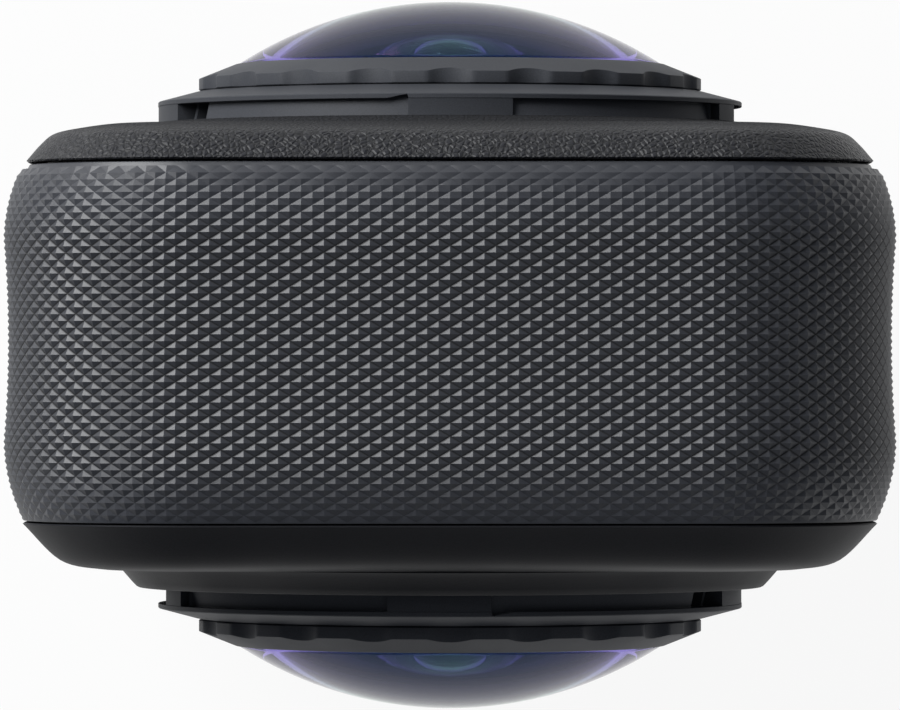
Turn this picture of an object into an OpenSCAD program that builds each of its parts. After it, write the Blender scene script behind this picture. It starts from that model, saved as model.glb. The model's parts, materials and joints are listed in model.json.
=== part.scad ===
// Pocket 360 degree camera with a fisheye lens on each face.
// It stands on its base: +Z is up, +Y is the front lens side, -Y is the screen side.
// Depths along Y are counted from the plane midway between the two lenses.

/* [Body] */
// Width across the grip band
body_w = 46; // [44:1:54]
// Height of the standing camera
body_h = 124; // [120:1:140]
// Corner radius of the outline seen from the front
corner_r = 10; // [8:0.5:12]
// Wall of the grip band at its thickest
wall = 2.2; // [1.9:0.1:2.6]
// Front edge of the grip band
band_front = 9.7; // [9.2:0.1:11]
// Rear edge of the grip band
band_rear = 8.5; // [8.2:0.1:9.4]
// Front crest of the grip band
crest_front = 5.9; // [5:0.1:7]
// Rear crest of the grip band
crest_rear = 4.4; // [3.6:0.1:5.6]
// How far the band draws in at its front edge
front_draw = 1.4; // [0.8:0.1:1.5]
// How far the band draws in at its rear edge
rear_draw = 1; // [0.6:0.1:1.4]
// Depth of the shallow waist round the band
waist = 0.22; // [0.1:0.02:0.4]

/* [Covers] */
// Height of the front cover above the band
front_rise = 2.2; // [1.9:0.1:2.8]
// Height of the rear cover behind the band
rear_rise = 2.5; // [2.2:0.1:2.9]
// Width of the front cover's sloped edge
front_slope = 4.5; // [3.6:0.1:5]
// Width of the rear cover's sloped edge
rear_slope = 3.9; // [3:0.1:4.2]
// Wall of both covers
cover_t = 1.5; // [1.3:0.1:1.7]
// Thickness of the lip that seats each cover in the band
lip_t = 1; // [0.8:0.1:1.2]
// Depth of that lip
lip_h = 1.2; // [0.8:0.1:1.4]
// Seam between band and covers
seam = 0.1; // [0.05:0.05:0.15]

/* [Lenses] */
// Lens axis below the top of the body
lens_drop = 23; // [22:0.5:26]
// Rise of the lens seat above the front cover
seat_rise = 0.4; // [0.2:0.1:0.8]
// Height of the bayonet ring
bayonet_h = 1.66; // [1.5:0.02:2.2]
// Width of the bayonet ring outside its bore
bayonet_w = 3.4; // [3:0.1:4]
// Thickness of the bayonet ring's flange at its rim
flange_t = 0.27; // [0.2:0.01:0.4]
// Height of the straight wall of the scalloped lens ring
ring_wall_h = 0.65; // [0.5:0.05:1]
// Height of the cone of the scalloped lens ring
ring_cone_h = 0.75; // [0.5:0.05:1]
// Width of the scalloped lens ring outside the glass
ring_w = 2.07; // [1.8:0.01:2.6]
// Number of scallops
scallops = 20; // [12:1:28]
// Radius of each scallop
scallop_r = 1.9; // [1.4:0.1:2.6]
// Depth of each scallop
scallop_depth = 0.42; // [0.2:0.02:0.6]
// Radius of the glass dome at its rim
glass_r = 11.3; // [10.6:0.1:12]
// Spherical radius of the glass dome
dome_r = 20.7; // [18:0.1:26]
// Thickness of the glass dome at its middle
dome_t = 1.2; // [1:0.1:1.6]
// Radius of the second lens element
second_r = 7.2; // [6:0.1:8]
// Height of the second element's crown
second_crown = 2.6; // [1.8:0.1:3]
// Radius of the rear lens group
group_r = 5.5; // [5:0.1:6]
// Edge of the square sensor board
sensor_board_w = 20; // [18:0.5:22]

/* [Screen and buttons] */
// Width of the touchscreen glass
screen_w = 34.5; // [30:0.5:35.5]
// Height of the touchscreen glass
screen_h = 54; // [48:0.5:55]
// Middle of the touchscreen above the base
screen_z = 52; // [50:0.5:53]
// Thickness of the touchscreen glass
screen_t = 0.9; // [0.7:0.05:1]
// Border of the glass outside the display
screen_border = 1; // [0.8:0.1:2]
// Radius of the two round rear buttons
button_r = 4.5; // [3.5:0.1:5]
// Distance of each round button from the middle
button_x = 8; // [7:0.5:9]
// Height of the round buttons above the base
button_z = 13.5; // [12.5:0.5:14]
// Travel of the round buttons
button_travel = 0.5; // [0.3:0.05:0.6]
// Width of the side buttons
side_button_w = 3.4; // [2.8:0.1:4]
// Length of the side buttons
side_button_l = 8; // [6:0.5:10]
// Height of the lower side button above the base
side_button_z = 62; // [58:0.5:64]
// Distance between the side buttons
side_button_pitch = 12; // [11:0.5:14]
// Travel of the side buttons
side_travel = 0.4; // [0.2:0.05:0.5]

/* [Battery] */
// Lower edge of the battery window
bay_z = 16.5; // [16:0.5:18]
// Height of the battery window
bay_h = 64; // [62:0.5:65]
// Thickness of the battery pack
pack_t = 7.5; // [6:0.1:7.6]
// Length of the battery pack into the body
pack_l = 31; // [26:0.5:32]
// Height of the battery pack
pack_h = 57; // [50:0.5:58]
// Travel of the battery latches
latch_travel = 2; // [1.5:0.1:2.5]
// Width of each latch slider
latch_w = 6; // [5:0.5:8]
// Length of each latch slider
latch_l = 5; // [4:0.5:6]

/* [Connector door] */
// Lower edge of the connector door window
door_z = 24; // [22:0.5:26]
// Height of the connector door window
door_h = 20; // [18:0.5:24]
// Radius of the door's hinge pin
pin_r = 0.5; // [0.4:0.05:0.6]
// Width of the connector mouth
port_w = 9; // [8.5:0.1:9.2]
// Height of the connector mouth
port_h = 3.2; // [3.1:0.05:3.4]
// Depth of the connector
port_l = 7.3; // [6.5:0.1:8]

/* [Base] */
// Width of the base plate
base_w = 30; // [24:1:32]
// Thickness of the base plate
base_t = 1.2; // [0.9:0.1:1.5]
// Radius of the tripod thread's wall
thread_r = 2.55; // [2.5:0.01:2.6]
// Depth of the tripod thread
thread_l = 8; // [6:0.5:9]
// Wall of the tripod socket
socket_wall = 1.9; // [1.5:0.1:2.4]

/* [Inside] */
// Thickness of the main board
board_t = 1.2; // [0.8:0.1:1.4]
// Thickness of the chassis plate
chassis_t = 1.2; // [0.8:0.1:1.4]
// Shank radius of the small screws
screw_r = 0.7; // [0.5:0.05:0.8]
// Head radius of the small screws
screw_head_r = 1.3; // [1.1:0.05:1.5]
// Head height of the small screws
screw_head_h = 0.7; // [0.5:0.05:0.8]

/* [Fits] */
// Gap between pieces that are fixed to each other
fit = 0.05; // [0.03:0.01:0.08]
// Gap round pieces that slide or swing
run_gap = 0.12; // [0.1:0.01:0.2]
// Radial gap of a turning fit
turn_gap = 0.06; // [0.03:0.01:0.1]

/* [Hidden] */
$fn = 64;
OVERCUT = 1;

// Body
half_w = body_w / 2;
inner_x = half_w - wall;
front_y = band_front + front_rise;
rear_y = band_rear + rear_rise;
cover_in = front_y - cover_t;
rear_in = rear_y - cover_t;
lip_inset = wall + seam;
profile_steps = 5;
cover_step = 0.2;
front_inset = front_draw - cover_step;

// Edge outlines of the covers, as shares of their slope and rise
FRONT_EDGE = [[0, 0.05], [0.16, 0.46], [0.32, 0.74], [0.62, 0.89], [1, 1]];
REAR_EDGE = [[0, 0], [0.49, 0.81], [1, 1]];

// Lenses
lens_z = body_h - lens_drop;
seat_y = front_y + seat_rise;
bayonet_top = seat_y + bayonet_h;
ring_y = bayonet_top + fit;
ring_top = ring_y + ring_wall_h + ring_cone_h;
ring_r = glass_r + ring_w;
neck_wall = 0.75;
neck_r = glass_r + neck_wall;
bayonet_bore = neck_r + turn_gap;
bayonet_r = bayonet_bore + bayonet_w;
flange_reach = 0.6;
bayonet_wall_r = bayonet_r - flange_reach;
bayonet_core_r = ring_r + 0.1;
recess_depth = 1.7;
bayonet_recess_r = bayonet_r - recess_depth;
bayonet_lip = bayonet_top - 0.53;
bayonet_under = bayonet_lip - flange_t;
barrel_r = glass_r - 0.1;
barrel_front = seat_y + 0.3;
seal_h = 0.5;
skirt_y = barrel_front + seal_h + 2 * fit;
dome_rise = dome_r - sqrt(dome_r * dome_r - glass_r * glass_r);
dome_apex = ring_top + dome_rise;
dome_rim = 1.1;
dome_floor_r = glass_r - dome_rim;
dome_hollow = dome_apex - dome_t - skirt_y;
dome_in_r = (dome_hollow * dome_hollow + dome_floor_r * dome_floor_r) / (2 * dome_hollow);
front_foot_r = bayonet_r + 1.8;
front_crown_r = bayonet_r + 0.2;
rear_foot_r = bayonet_r + 2.4;
rear_crown_r = bayonet_r + 1.1;
flange_r = barrel_r + 3.3;
mount_y = rear_in;
flange_y = mount_y - fit;
flange_h = 1.4;
tube_r = 8.5;
tube_wall = 1.2;
lens_screw_pcr = barrel_r + 1.6;
chassis_half = chassis_t / 2;
sensor_board_y = chassis_half + fit;
sensor_board_t = 1;
sensor_y = sensor_board_y + sensor_board_t + fit;
sensor_t = 1;
foot_y = sensor_board_y + sensor_board_t + fit;
group_y = foot_y + sensor_t + 1.4;
group_lens_t = 2.2;
group_cap_t = 1.6;
second_seat = barrel_front - 1.6;
second_ball = (second_crown * second_crown + second_r * second_r) / (2 * second_crown);
second_rim = barrel_front + 0.6;

// Bayonet ring recesses in degrees from +Z, repeated on the far half
DEEP_RECESSES = [[-67, -8], [58, 66], [75, 88]];
SHALLOW_RECESSES = [[12, 89]];

// Battery bay
bay_front = band_front - 2.7;
bay_rear = band_rear - 2.5;
bay_y = (bay_front - bay_rear) / 2;
bay_w = bay_front + bay_rear;
bay_top = bay_z + bay_h;
bay_mid = bay_z + bay_h / 2;
collar_t = 0.9;
collar_h = 1.4;
plug_h = 1.2;
plug_inset = 0.75;
plate_y = 1.2;
plate_t = 0.8;
pack_rear = -plate_y + 0.3;
pack_x = inner_x - plug_h - fit;
pack_z = bay_top - plug_inset - pack_h;
latch_depth = 1.3;
latch_t = latch_depth - waist - fit;
latch_span = bay_h / 2 - 8;

// Connector door
door_front = bay_front - 1;
door_rear = bay_rear - 1;
door_y = (door_front - door_rear) / 2;
door_w = door_front + door_rear;
hinge_r = wall / 2;
hinge_x = half_w - hinge_r;
hinge_z = door_z + door_h - hinge_r - run_gap;
pin_reach = 1.5;
seal_t = 0.8;
port_x = inner_x - seal_t - 4 * fit;
port_z = door_z + door_h / 2;
seal_in = 0.5;
seal_out = 1.2;

// Boards
board_front = -(plate_y + plate_t + 1.2);
board_rear = board_front - board_t;
port_y = board_front + fit + port_h / 2;
board_z0 = bay_z + 5.5;
board_z1 = bay_top;
board_half = inner_x - 2.3;
plate_x = pack_l - pack_x - 2 * fit;
stand_xs = [2.6 - pack_x, plate_x - 2.4];
stand_r = 1.6;
stand_zs = [board_z0 + 4, board_z1 - 5];
shelf_top = bay_top + collar_t + 0.1;
shelf_low = bay_z - collar_t - 0.1;
shelf_t = 1.2;
shelf_half = inner_x - collar_h - 0.1;
boss_r = 1.8;
boss_depth = 6;
top_boss = [half_w - 8, body_h - 8];
low_boss = [inner_x - 3.3, shelf_top + 3.2];
BOSSES = [top_boss, low_boss];
chassis_edge = 2.3;
chip_x = plate_x - 5;
chip_w = 14;
chip_t = 1.1;
chip_low = bay_mid - 4;
ram_w = 10;
ram_t = 0.9;
ram_gap = 2;
radio_w = 6;
radio_h = 10;
radio_t = 0.8;
radio_gap = 2;
spreader_t = 1;
spreader_end = 8;
spreader_side = 3;
flex_t = 0.2;
flex_w = 7;
flex_x = 8.5;
flex_room = 0.5;
slot_z0 = lens_z - 15;
slot_z1 = lens_z - 10.5;
flex_y = board_front + fit;
flex_low = stand_zs[1] + stand_r + 0.4;
flex_start = lens_z - tube_r - 0.2;
flex_knee = lens_z - sensor_board_w / 2 - 0.3;

// Buttons
button_flange = 0.7;
button_stem = 0.3;
press_room = 0.1;
key_h = 0.7;
key_top = rear_in - fit - button_flange - button_stem - button_travel - press_room;
key_board_t = 0.8;
key_board_y = key_h - key_top;
key_board_half = button_x + 6;
key_w = 4;
side_flange = 0.7;
side_stem = 0.35;
side_key_x = inner_x - fit - side_flange - side_stem - side_travel - press_room;
side_y = (crest_front - crest_rear) / 2;
side_key_h = 1;
side_board_t = 0.8;
side_key_w = 3;
SIDE_ZS = [side_button_z, side_button_z + side_button_pitch];

// Lights, microphones and loudspeaker
light_r = 0.8;
front_light_z = lens_z - front_foot_r - 3;
rear_light_z = button_z + button_r + 2.6;
mic_r = 0.4;
front_mic = [12, 13];
rear_mic = [button_x + 7, button_z];
speaker_half = 8;
speaker_z = lip_inset + lip_t + 0.4;
speaker_h = 8.6;
speaker_t = 3;
grille_r = 0.5;
grille_pitch = 1.8;
mic_size = [3, 1, 2];
light_sink = 0.6;

// Screen
screen_corner = 2;
gasket_t = 0.15;
panel_t = 1.5;
panel_rear = -rear_y + screen_t + fit;
tail_low = board_z0 + 1;
tail_foot = 4;
tail_knee = 8;
tail_top = 13;

// Memory card
card_l = 15;
card_w = 11;
card_t = 1;
card_travel = 0.8;
card_x = inner_x - plug_h - 0.3;
slot_wall = 0.4;
slot_mouth = 1.5;
slot_back = 1;
slot_end = card_l - card_x + card_travel + 0.2;
riser = 1.4;
card_slot_z = shelf_low + riser + fit;
card_z = card_slot_z + slot_wall + fit;

// Base
base_corner = 2;
base_y = bay_y;
base_d = bay_w;
socket_r = thread_r + socket_wall;
socket_flange = 1.4;
socket_roof = 1.5;
base_screw_x = base_w / 2 - 3.5;

// Inset of the grip band from the outline at depth y
function band_inset(y) =
    y > crest_front ? front_draw * pow((y - crest_front) / (band_front - crest_front), 2)
    : y < -crest_rear ? rear_draw * pow((-crest_rear - y) / (band_rear - crest_rear), 2)
    : waist * (1 - pow((2 * y - crest_front + crest_rear) / (crest_front + crest_rear), 2));

// Depths at which the band's outline has a point, from rear to front
function band_depths() = concat(
    [for (i = [0 : profile_steps - 1]) -band_rear + i * (band_rear - crest_rear) / profile_steps],
    [for (i = [0 : profile_steps]) -crest_rear + i * (crest_front + crest_rear) / profile_steps],
    [for (i = [1 : profile_steps]) crest_front + i * (band_front - crest_front) / profile_steps]);

// Outline of a flat flex in depth and height, thick along Y
function strip(path) = concat(path, [for (i = [len(path) - 1 : -1 : 0]) path[i] + [flex_t, 0]]);

module rounded_rect(w, h, r) {
    square([w - 2 * r, h], center = true);
    square([w, h - 2 * r], center = true);
    for (x = [-1, 1], y = [-1, 1]) translate([x * (w / 2 - r), y * (h / 2 - r)]) circle(r);
}

// A flat shape drawn in X and Z, thick from depth y0 to y1
module slab_y(y0, y1) {
    translate([0, y1, 0]) rotate([90, 0, 0]) linear_extrude(y1 - y0) children();
}

// A flat shape drawn in Y and Z, thick from x0 to x1
module slab_x(x0, x1) {
    translate([x0, 0, 0]) rotate([90, 0, 90]) linear_extrude(x1 - x0) children();
}

// A box given by its lowest and highest corner
module block(low, high) {
    translate(low) cube(high - low);
}

// A profile of inset and depth carried round the body's outline
module round_body() {
    run_x = body_w - 2 * corner_r;
    run_z = body_h - 2 * corner_r;
    translate([0, 0, body_h / 2]) {
        for (x = [0, 1], z = [0, 1]) mirror([x, 0, 0]) mirror([0, 0, z])
            translate([run_x / 2, 0, run_z / 2]) rotate([-90, 0, 0]) rotate([0, 0, -90])
                rotate_extrude(angle = 90) translate([corner_r, 0]) children();
        for (x = [0, 1]) mirror([x, 0, 0])
            translate([half_w, 0, -run_z / 2]) linear_extrude(run_z) children();
        for (z = [0, 1]) mirror([0, 0, z])
            translate([run_x / 2, 0, body_h / 2]) rotate([0, -90, 0]) linear_extrude(run_x) children();
    }
}

// The body's outline drawn in from its edge
module inset_outline(inset) {
    translate([0, body_h / 2]) rounded_rect(body_w - 2 * inset, body_h - 2 * inset, corner_r - inset);
}

module band_profile() {
    outer = [for (y = band_depths()) [-band_inset(y), y]];
    polygon(concat(outer, [[-wall, band_front], [-wall, -band_rear]]));
}

// The side of the band, full height, on the +X side
module band_side(z0, z1) {
    translate([half_w, 0, z0]) linear_extrude(z1 - z0) band_profile();
}

module bay_window(grow) {
    translate([bay_y, bay_mid]) square([bay_w + 2 * grow, bay_h + 2 * grow], center = true);
}

module door_window() {
    translate([door_y, port_z]) square([door_w, door_h], center = true);
}

module pill(w, l) {
    square([w, l - w], center = true);
    for (s = [-1, 1]) translate([0, s * (l - w) / 2]) circle(w / 2);
}

module pin_y(r, y0, y1) {
    translate([0, y0, 0]) rotate([-90, 0, 0]) cylinder(r = r, h = y1 - y0);
}

// Lens pieces are drawn with +Z outwards and placed on either face
module on_lens(face) {
    translate([0, 0, lens_z]) rotate([0, 0, face == "front" ? 0 : 180]) rotate([-90, 0, 0]) children();
}

module at_z(z0, r, h, r2 = 0) {
    translate([0, 0, z0]) cylinder(r1 = r, r2 = r2 > 0 ? r2 : r, h = h);
}

// A profile of radius and depth turned through the sector from a to b, in degrees from +Z
module sector(a, b) {
    rotate([0, 0, a - 90]) rotate_extrude(angle = b - a) children();
}

module ring_of_screws() {
    for (i = [0 : 2]) rotate([0, 0, 120 * i]) translate([lens_screw_pcr, 0, 0]) children();
}

module grip_frame() {
    color("#26282a") difference() {
        union() {
            round_body() band_profile();
            mirror([1, 0, 0]) difference() {
                slab_x(inner_x - collar_h, inner_x) bay_window(collar_t);
                slab_x(inner_x - collar_h - OVERCUT, inner_x + OVERCUT) bay_window(0);
            }
        }
        mirror([1, 0, 0]) slab_x(inner_x - OVERCUT, half_w + OVERCUT) bay_window(0);
        slab_x(inner_x - OVERCUT, half_w + OVERCUT) door_window();
        translate([hinge_x, 0, hinge_z])
            pin_y(pin_r + fit / 2, -door_rear - pin_reach - fit, door_front + pin_reach + fit);
        for (z = SIDE_ZS) slab_x(inner_x - OVERCUT, half_w + OVERCUT)
            translate([side_y, z]) pill(side_button_w, side_button_l);
        translate([0, base_y, -OVERCUT]) linear_extrude(base_t + fit + OVERCUT)
            rounded_rect(base_w + 2 * fit, base_d + 2 * fit, base_corner + fit);
        translate([0, 0, -OVERCUT]) cylinder(r = socket_r + fit, h = wall + 2 * OVERCUT);
        for (s = [-1, 1]) translate([s * base_screw_x, base_y, -OVERCUT])
            cylinder(r = screw_r + fit, h = wall + 2 * OVERCUT);
    }
}

// Edge of a cover: outline shares, first inset, slope, band edge depth, rise
module cover_edge(shares, inset, slope, edge, rise) {
    outer = [for (s = shares) [-inset - s[0] * slope, edge + seam + s[1] * (rise - seam)]];
    top = edge + rise;
    polygon(concat([[-inset, edge + seam]], outer, [
        [-inset - slope, top - cover_t],
        [-lip_inset - lip_t, top - cover_t],
        [-lip_inset - lip_t, edge + seam - lip_h],
        [-lip_inset, edge + seam - lip_h],
        [-lip_inset, edge + seam]
    ]));
}

module front_cover() {
    color("#1d1e20") difference() {
        union() {
            round_body() cover_edge(FRONT_EDGE, front_inset, front_slope, band_front, front_rise);
            slab_y(cover_in, front_y) inset_outline(front_inset + front_slope);
            on_lens("front") at_z(cover_in, front_foot_r, cover_t);
            on_lens("front") at_z(front_y, front_foot_r, seat_rise, front_crown_r);
            on_lens("front") at_z(mount_y, flange_r, cover_in + cover_t / 2 - mount_y);
            for (p = BOSSES, s = [-1, 1]) translate([s * p[0], 0, p[1]])
                pin_y(boss_r, chassis_half + fit, cover_in + cover_t / 2);
        }
        on_lens("front") at_z(mount_y - OVERCUT, barrel_r + fit, seat_y);
        on_lens("front") ring_of_screws() at_z(mount_y - OVERCUT, screw_r + fit, OVERCUT + 1.6);
        for (p = BOSSES, s = [-1, 1]) translate([s * p[0], 0, p[1]])
            pin_y(screw_r + fit, 0, boss_depth);
        for (i = [-3 : 3]) translate([i * grille_pitch, 0, speaker_z + speaker_h / 2])
            pin_y(grille_r, cover_in - OVERCUT, front_y + OVERCUT);
        for (s = [-1, 1]) translate([s * front_mic[0], 0, front_mic[1]])
            pin_y(mic_r, cover_in - OVERCUT, front_y + OVERCUT);
        translate([0, 0, front_light_z]) pin_y(light_r + fit, cover_in - OVERCUT, front_y + OVERCUT);
    }
}

module rear_cover() {
    color("#17181a") difference() {
        mirror([0, 1, 0]) union() {
            round_body() cover_edge(REAR_EDGE, rear_draw, rear_slope, band_rear, rear_rise);
            slab_y(rear_in, rear_y) inset_outline(rear_draw + rear_slope);
            on_lens("front") at_z(rear_in, rear_foot_r, cover_t);
        }
        mirror([0, 1, 0]) on_lens("front") at_z(rear_in - OVERCUT, barrel_r + fit, cover_t + 2 * OVERCUT);
        on_lens("rear") ring_of_screws() at_z(rear_in - OVERCUT, screw_r + fit, OVERCUT + 1.2);
        slab_y(-rear_y - OVERCUT, -rear_y + screen_t + gasket_t) screen_outline(fit);
        slab_y(-rear_y, -rear_in + OVERCUT) screen_outline(fit - screen_border);
        for (s = [-1, 1]) translate([s * button_x, 0, button_z])
            pin_y(button_r + run_gap, -rear_y - OVERCUT, -rear_in + OVERCUT);
        translate([0, 0, rear_light_z]) pin_y(light_r + fit, -rear_y - OVERCUT, -rear_in + OVERCUT);
        for (s = [-1, 1]) translate([s * rear_mic[0], 0, rear_mic[1]])
            pin_y(mic_r, -rear_y - OVERCUT, -rear_in + OVERCUT);
    }
}

module screen_outline(grow) {
    translate([0, screen_z]) rounded_rect(screen_w + 2 * grow, screen_h + 2 * grow, screen_corner + grow);
}

module rear_lens_base() {
    color("#161718") on_lens("rear") difference() {
        at_z(rear_y + fit, rear_foot_r, seat_y - rear_y - fit, rear_crown_r);
        at_z(rear_y - OVERCUT, barrel_r + fit, seat_y);
    }
}

module base_plate() {
    color("#202224") difference() {
        translate([0, base_y, 0]) linear_extrude(base_t) rounded_rect(base_w, base_d, base_corner);
        translate([0, 0, -OVERCUT]) cylinder(r = socket_r + fit, h = base_t + 2 * OVERCUT);
        for (s = [-1, 1]) translate([s * base_screw_x, base_y, 0]) {
            translate([0, 0, -OVERCUT]) cylinder(r = screw_r + fit, h = base_t + 2 * OVERCUT);
            translate([0, 0, -OVERCUT]) cylinder(r = screw_head_r + fit, h = screw_head_h + fit + OVERCUT);
        }
    }
}

module base_screws() {
    color("#77797c") for (s = [-1, 1]) translate([s * base_screw_x, base_y, fit]) {
        cylinder(r = screw_head_r, h = screw_head_h - fit);
        cylinder(r = screw_r, h = wall + 0.8);
    }
}

module tripod_socket() {
    color("#b5a36a") difference() {
        union() {
            cylinder(r = socket_r, h = thread_l + socket_roof);
            translate([0, 0, wall + fit]) cylinder(r = socket_r + socket_flange, h = 1);
        }
        translate([0, 0, -OVERCUT]) cylinder(r = thread_r, h = thread_l + OVERCUT);
    }
}

// Space under the bayonet ring's flange, from radius r outwards
module under_flange(span, r) {
    sector(span[0], span[1]) polygon([
        [r, seat_y - OVERCUT], [bayonet_r + OVERCUT, seat_y - OVERCUT],
        [bayonet_r + OVERCUT, bayonet_under], [r, bayonet_under]
    ]);
}

module bayonet_ring(face) {
    color("#1a1b1d") on_lens(face) difference() {
        rotate_extrude() polygon([
            [bayonet_bore, seat_y], [bayonet_r, seat_y], [bayonet_r, bayonet_lip],
            [bayonet_core_r, bayonet_top], [bayonet_bore, bayonet_top]
        ]);
        for (turn = [0, 180]) rotate([0, 0, turn]) {
            for (span = DEEP_RECESSES) under_flange(span, bayonet_recess_r);
            for (span = SHALLOW_RECESSES) under_flange(span, bayonet_wall_r);
        }
    }
}

module front_bayonet_ring() {
    bayonet_ring("front");
}

module rear_bayonet_ring() {
    bayonet_ring("rear");
}

module lens_ring(face) {
    color("#242528") on_lens(face) difference() {
        union() {
            at_z(ring_y, ring_r, ring_wall_h);
            at_z(ring_y + ring_wall_h, ring_r, ring_cone_h, glass_r + 3 * fit);
            at_z(barrel_front, neck_r, ring_y - barrel_front + fit);
        }
        at_z(barrel_front - OVERCUT, glass_r + fit, ring_top);
        for (i = [0 : scallops - 1]) rotate([0, 0, 360 / scallops * i])
            translate([0, -(ring_r + scallop_r - scallop_depth), 0])
                at_z(ring_y - fit / 2, scallop_r, ring_wall_h + ring_cone_h + OVERCUT);
    }
}

module front_lens_ring() {
    lens_ring("front");
}

module rear_lens_ring() {
    lens_ring("rear");
}

module lens_dome(face) {
    color("#2c4a72", 0.6) on_lens(face) difference() {
        intersection() {
            translate([0, 0, dome_apex - dome_r]) sphere(dome_r);
            at_z(skirt_y, glass_r, dome_apex - skirt_y + OVERCUT);
        }
        translate([0, 0, dome_apex - dome_t - dome_in_r]) sphere(dome_in_r);
    }
}

module front_lens_dome() {
    lens_dome("front");
}

module rear_lens_dome() {
    lens_dome("rear");
}

module lens_seal(face) {
    color("#0e0e0e") on_lens(face) difference() {
        at_z(barrel_front + fit, barrel_r - fit, seal_h);
        at_z(barrel_front, dome_floor_r - 0.4, 2 * seal_h);
    }
}

module front_lens_seal() {
    lens_seal("front");
}

module rear_lens_seal() {
    lens_seal("rear");
}

module lens_barrel(face) {
    color("#121214") on_lens(face) difference() {
        union() {
            at_z(flange_y - flange_h, barrel_r, barrel_front - flange_y + flange_h);
            at_z(flange_y - flange_h, flange_r, flange_h);
            at_z(foot_y, tube_r, flange_y - foot_y);
        }
        at_z(second_seat, second_r + fit, barrel_front);
        at_z(group_y - fit, group_r + fit, barrel_front);
        at_z(foot_y - OVERCUT, group_r - 0.6, barrel_front);
        at_z(foot_y - OVERCUT, tube_r - tube_wall, sensor_t + 0.6 + OVERCUT);
        ring_of_screws() at_z(flange_y - flange_h - OVERCUT, screw_r + fit, flange_h + 2 * OVERCUT);
    }
}

module front_lens_barrel() {
    lens_barrel("front");
}

module rear_lens_barrel() {
    lens_barrel("rear");
}

module second_element(face) {
    color("#31506e", 0.6) on_lens(face) union() {
        at_z(second_seat + fit, second_r, second_rim - second_seat - fit);
        intersection() {
            translate([0, 0, second_rim + second_crown - second_ball]) sphere(second_ball);
            at_z(second_rim, second_r, second_crown + OVERCUT);
        }
    }
}

module front_second_element() {
    second_element("front");
}

module rear_second_element() {
    second_element("rear");
}

module lens_group(face) {
    color("#3b5a70", 0.6) on_lens(face) {
        at_z(group_y, group_r, group_lens_t);
        at_z(group_y + group_lens_t + 2 * fit, group_r, group_cap_t);
    }
}

module front_lens_group() {
    lens_group("front");
}

module rear_lens_group() {
    lens_group("rear");
}

module image_sensor(face) {
    color("#3a3f4a") on_lens(face) translate([0, 0, sensor_y + sensor_t / 2])
        cube([9, 7, sensor_t], center = true);
}

module front_image_sensor() {
    image_sensor("front");
}

module rear_image_sensor() {
    image_sensor("rear");
}

module sensor_board(face) {
    color("#1f4a36") on_lens(face) translate([0, 0, sensor_board_y + sensor_board_t / 2])
        cube([sensor_board_w, sensor_board_w, sensor_board_t], center = true);
}

module front_sensor_board() {
    sensor_board("front");
}

module rear_sensor_board() {
    sensor_board("rear");
}

module front_sensor_flex() {
    path = [[foot_y, flex_start], [foot_y, flex_knee], [flex_y, slot_z0 - 1.5], [flex_y, flex_low]];
    color("#a8722c") slab_x(-flex_x - flex_w / 2, -flex_x + flex_w / 2) polygon(strip(path));
}

module rear_sensor_flex() {
    path = [
        [-foot_y - flex_t, flex_start], [-foot_y - flex_t, flex_knee],
        [flex_y, slot_z0 - 1.5], [flex_y, flex_low]
    ];
    color("#a8722c") slab_x(flex_x - flex_w / 2, flex_x + flex_w / 2) polygon(strip(path));
}

module lens_screws() {
    color("#88898c") for (face = ["front", "rear"]) on_lens(face) ring_of_screws() union() {
        at_z(flange_y - flange_h - screw_head_h - fit, screw_head_r, screw_head_h);
        at_z(flange_y - flange_h - screw_head_h, screw_r, screw_head_h + flange_h + 1);
    }
}

module touchscreen_glass() {
    color("#0b0c0e") slab_y(-rear_y, -rear_y + screen_t) screen_outline(0);
}

module screen_gasket() {
    color("#101010") difference() {
        slab_y(-rear_y + screen_t, -rear_y + screen_t + gasket_t) screen_outline(0);
        slab_y(-rear_y, -rear_in) screen_outline(-screen_border);
    }
}

module display_panel() {
    color("#2a2d33") slab_y(panel_rear, panel_rear + panel_t) screen_outline(-screen_border - fit);
}

module display_flex() {
    panel_back = panel_rear + panel_t + fit;
    board_back = board_rear - fit - flex_t;
    path = [
        [panel_back, tail_low + tail_top], [panel_back, tail_low + tail_knee],
        [board_back, tail_low + tail_foot], [board_back, tail_low]
    ];
    color("#a8722c") slab_x(-flex_w / 2, flex_w / 2) polygon(strip(path));
}

module rear_button() {
    color("#303236") translate([0, 0, button_z]) union() {
        pin_y(button_r, -rear_y, -rear_in + fit + 0.1);
        pin_y(button_r + 0.7, -rear_in + fit, -rear_in + fit + button_flange);
        pin_y(1, -rear_in + fit, -rear_in + fit + button_flange + button_stem);
    }
}

module shutter_button() {
    translate([-button_x, 0, 0]) rear_button();
}

module view_button() {
    translate([button_x, 0, 0]) rear_button();
}

module button_board() {
    color("#1f4a36") union() {
        block([-key_board_half, key_board_y, button_z - button_r - 1],
            [key_board_half, key_board_y + key_board_t, button_z + button_r + 1]);
        for (s = [-1, 1]) translate([s * button_x, key_h / 2 - key_top, button_z])
            cube([key_w, key_h, key_w], center = true);
    }
}

module side_button(z) {
    face_x = inner_x - fit;
    color("#303236") translate([0, side_y, z]) union() {
        slab_x(face_x - 0.1, half_w) pill(side_button_w - 2 * run_gap, side_button_l - 2 * run_gap);
        slab_x(face_x - side_flange, face_x) pill(side_button_w + 1.2, side_button_l + 1.2);
        slab_x(face_x - side_flange - side_stem, face_x) circle(0.8);
    }
}

module power_button() {
    side_button(SIDE_ZS[0]);
}

module quick_button() {
    side_button(SIDE_ZS[1]);
}

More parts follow.
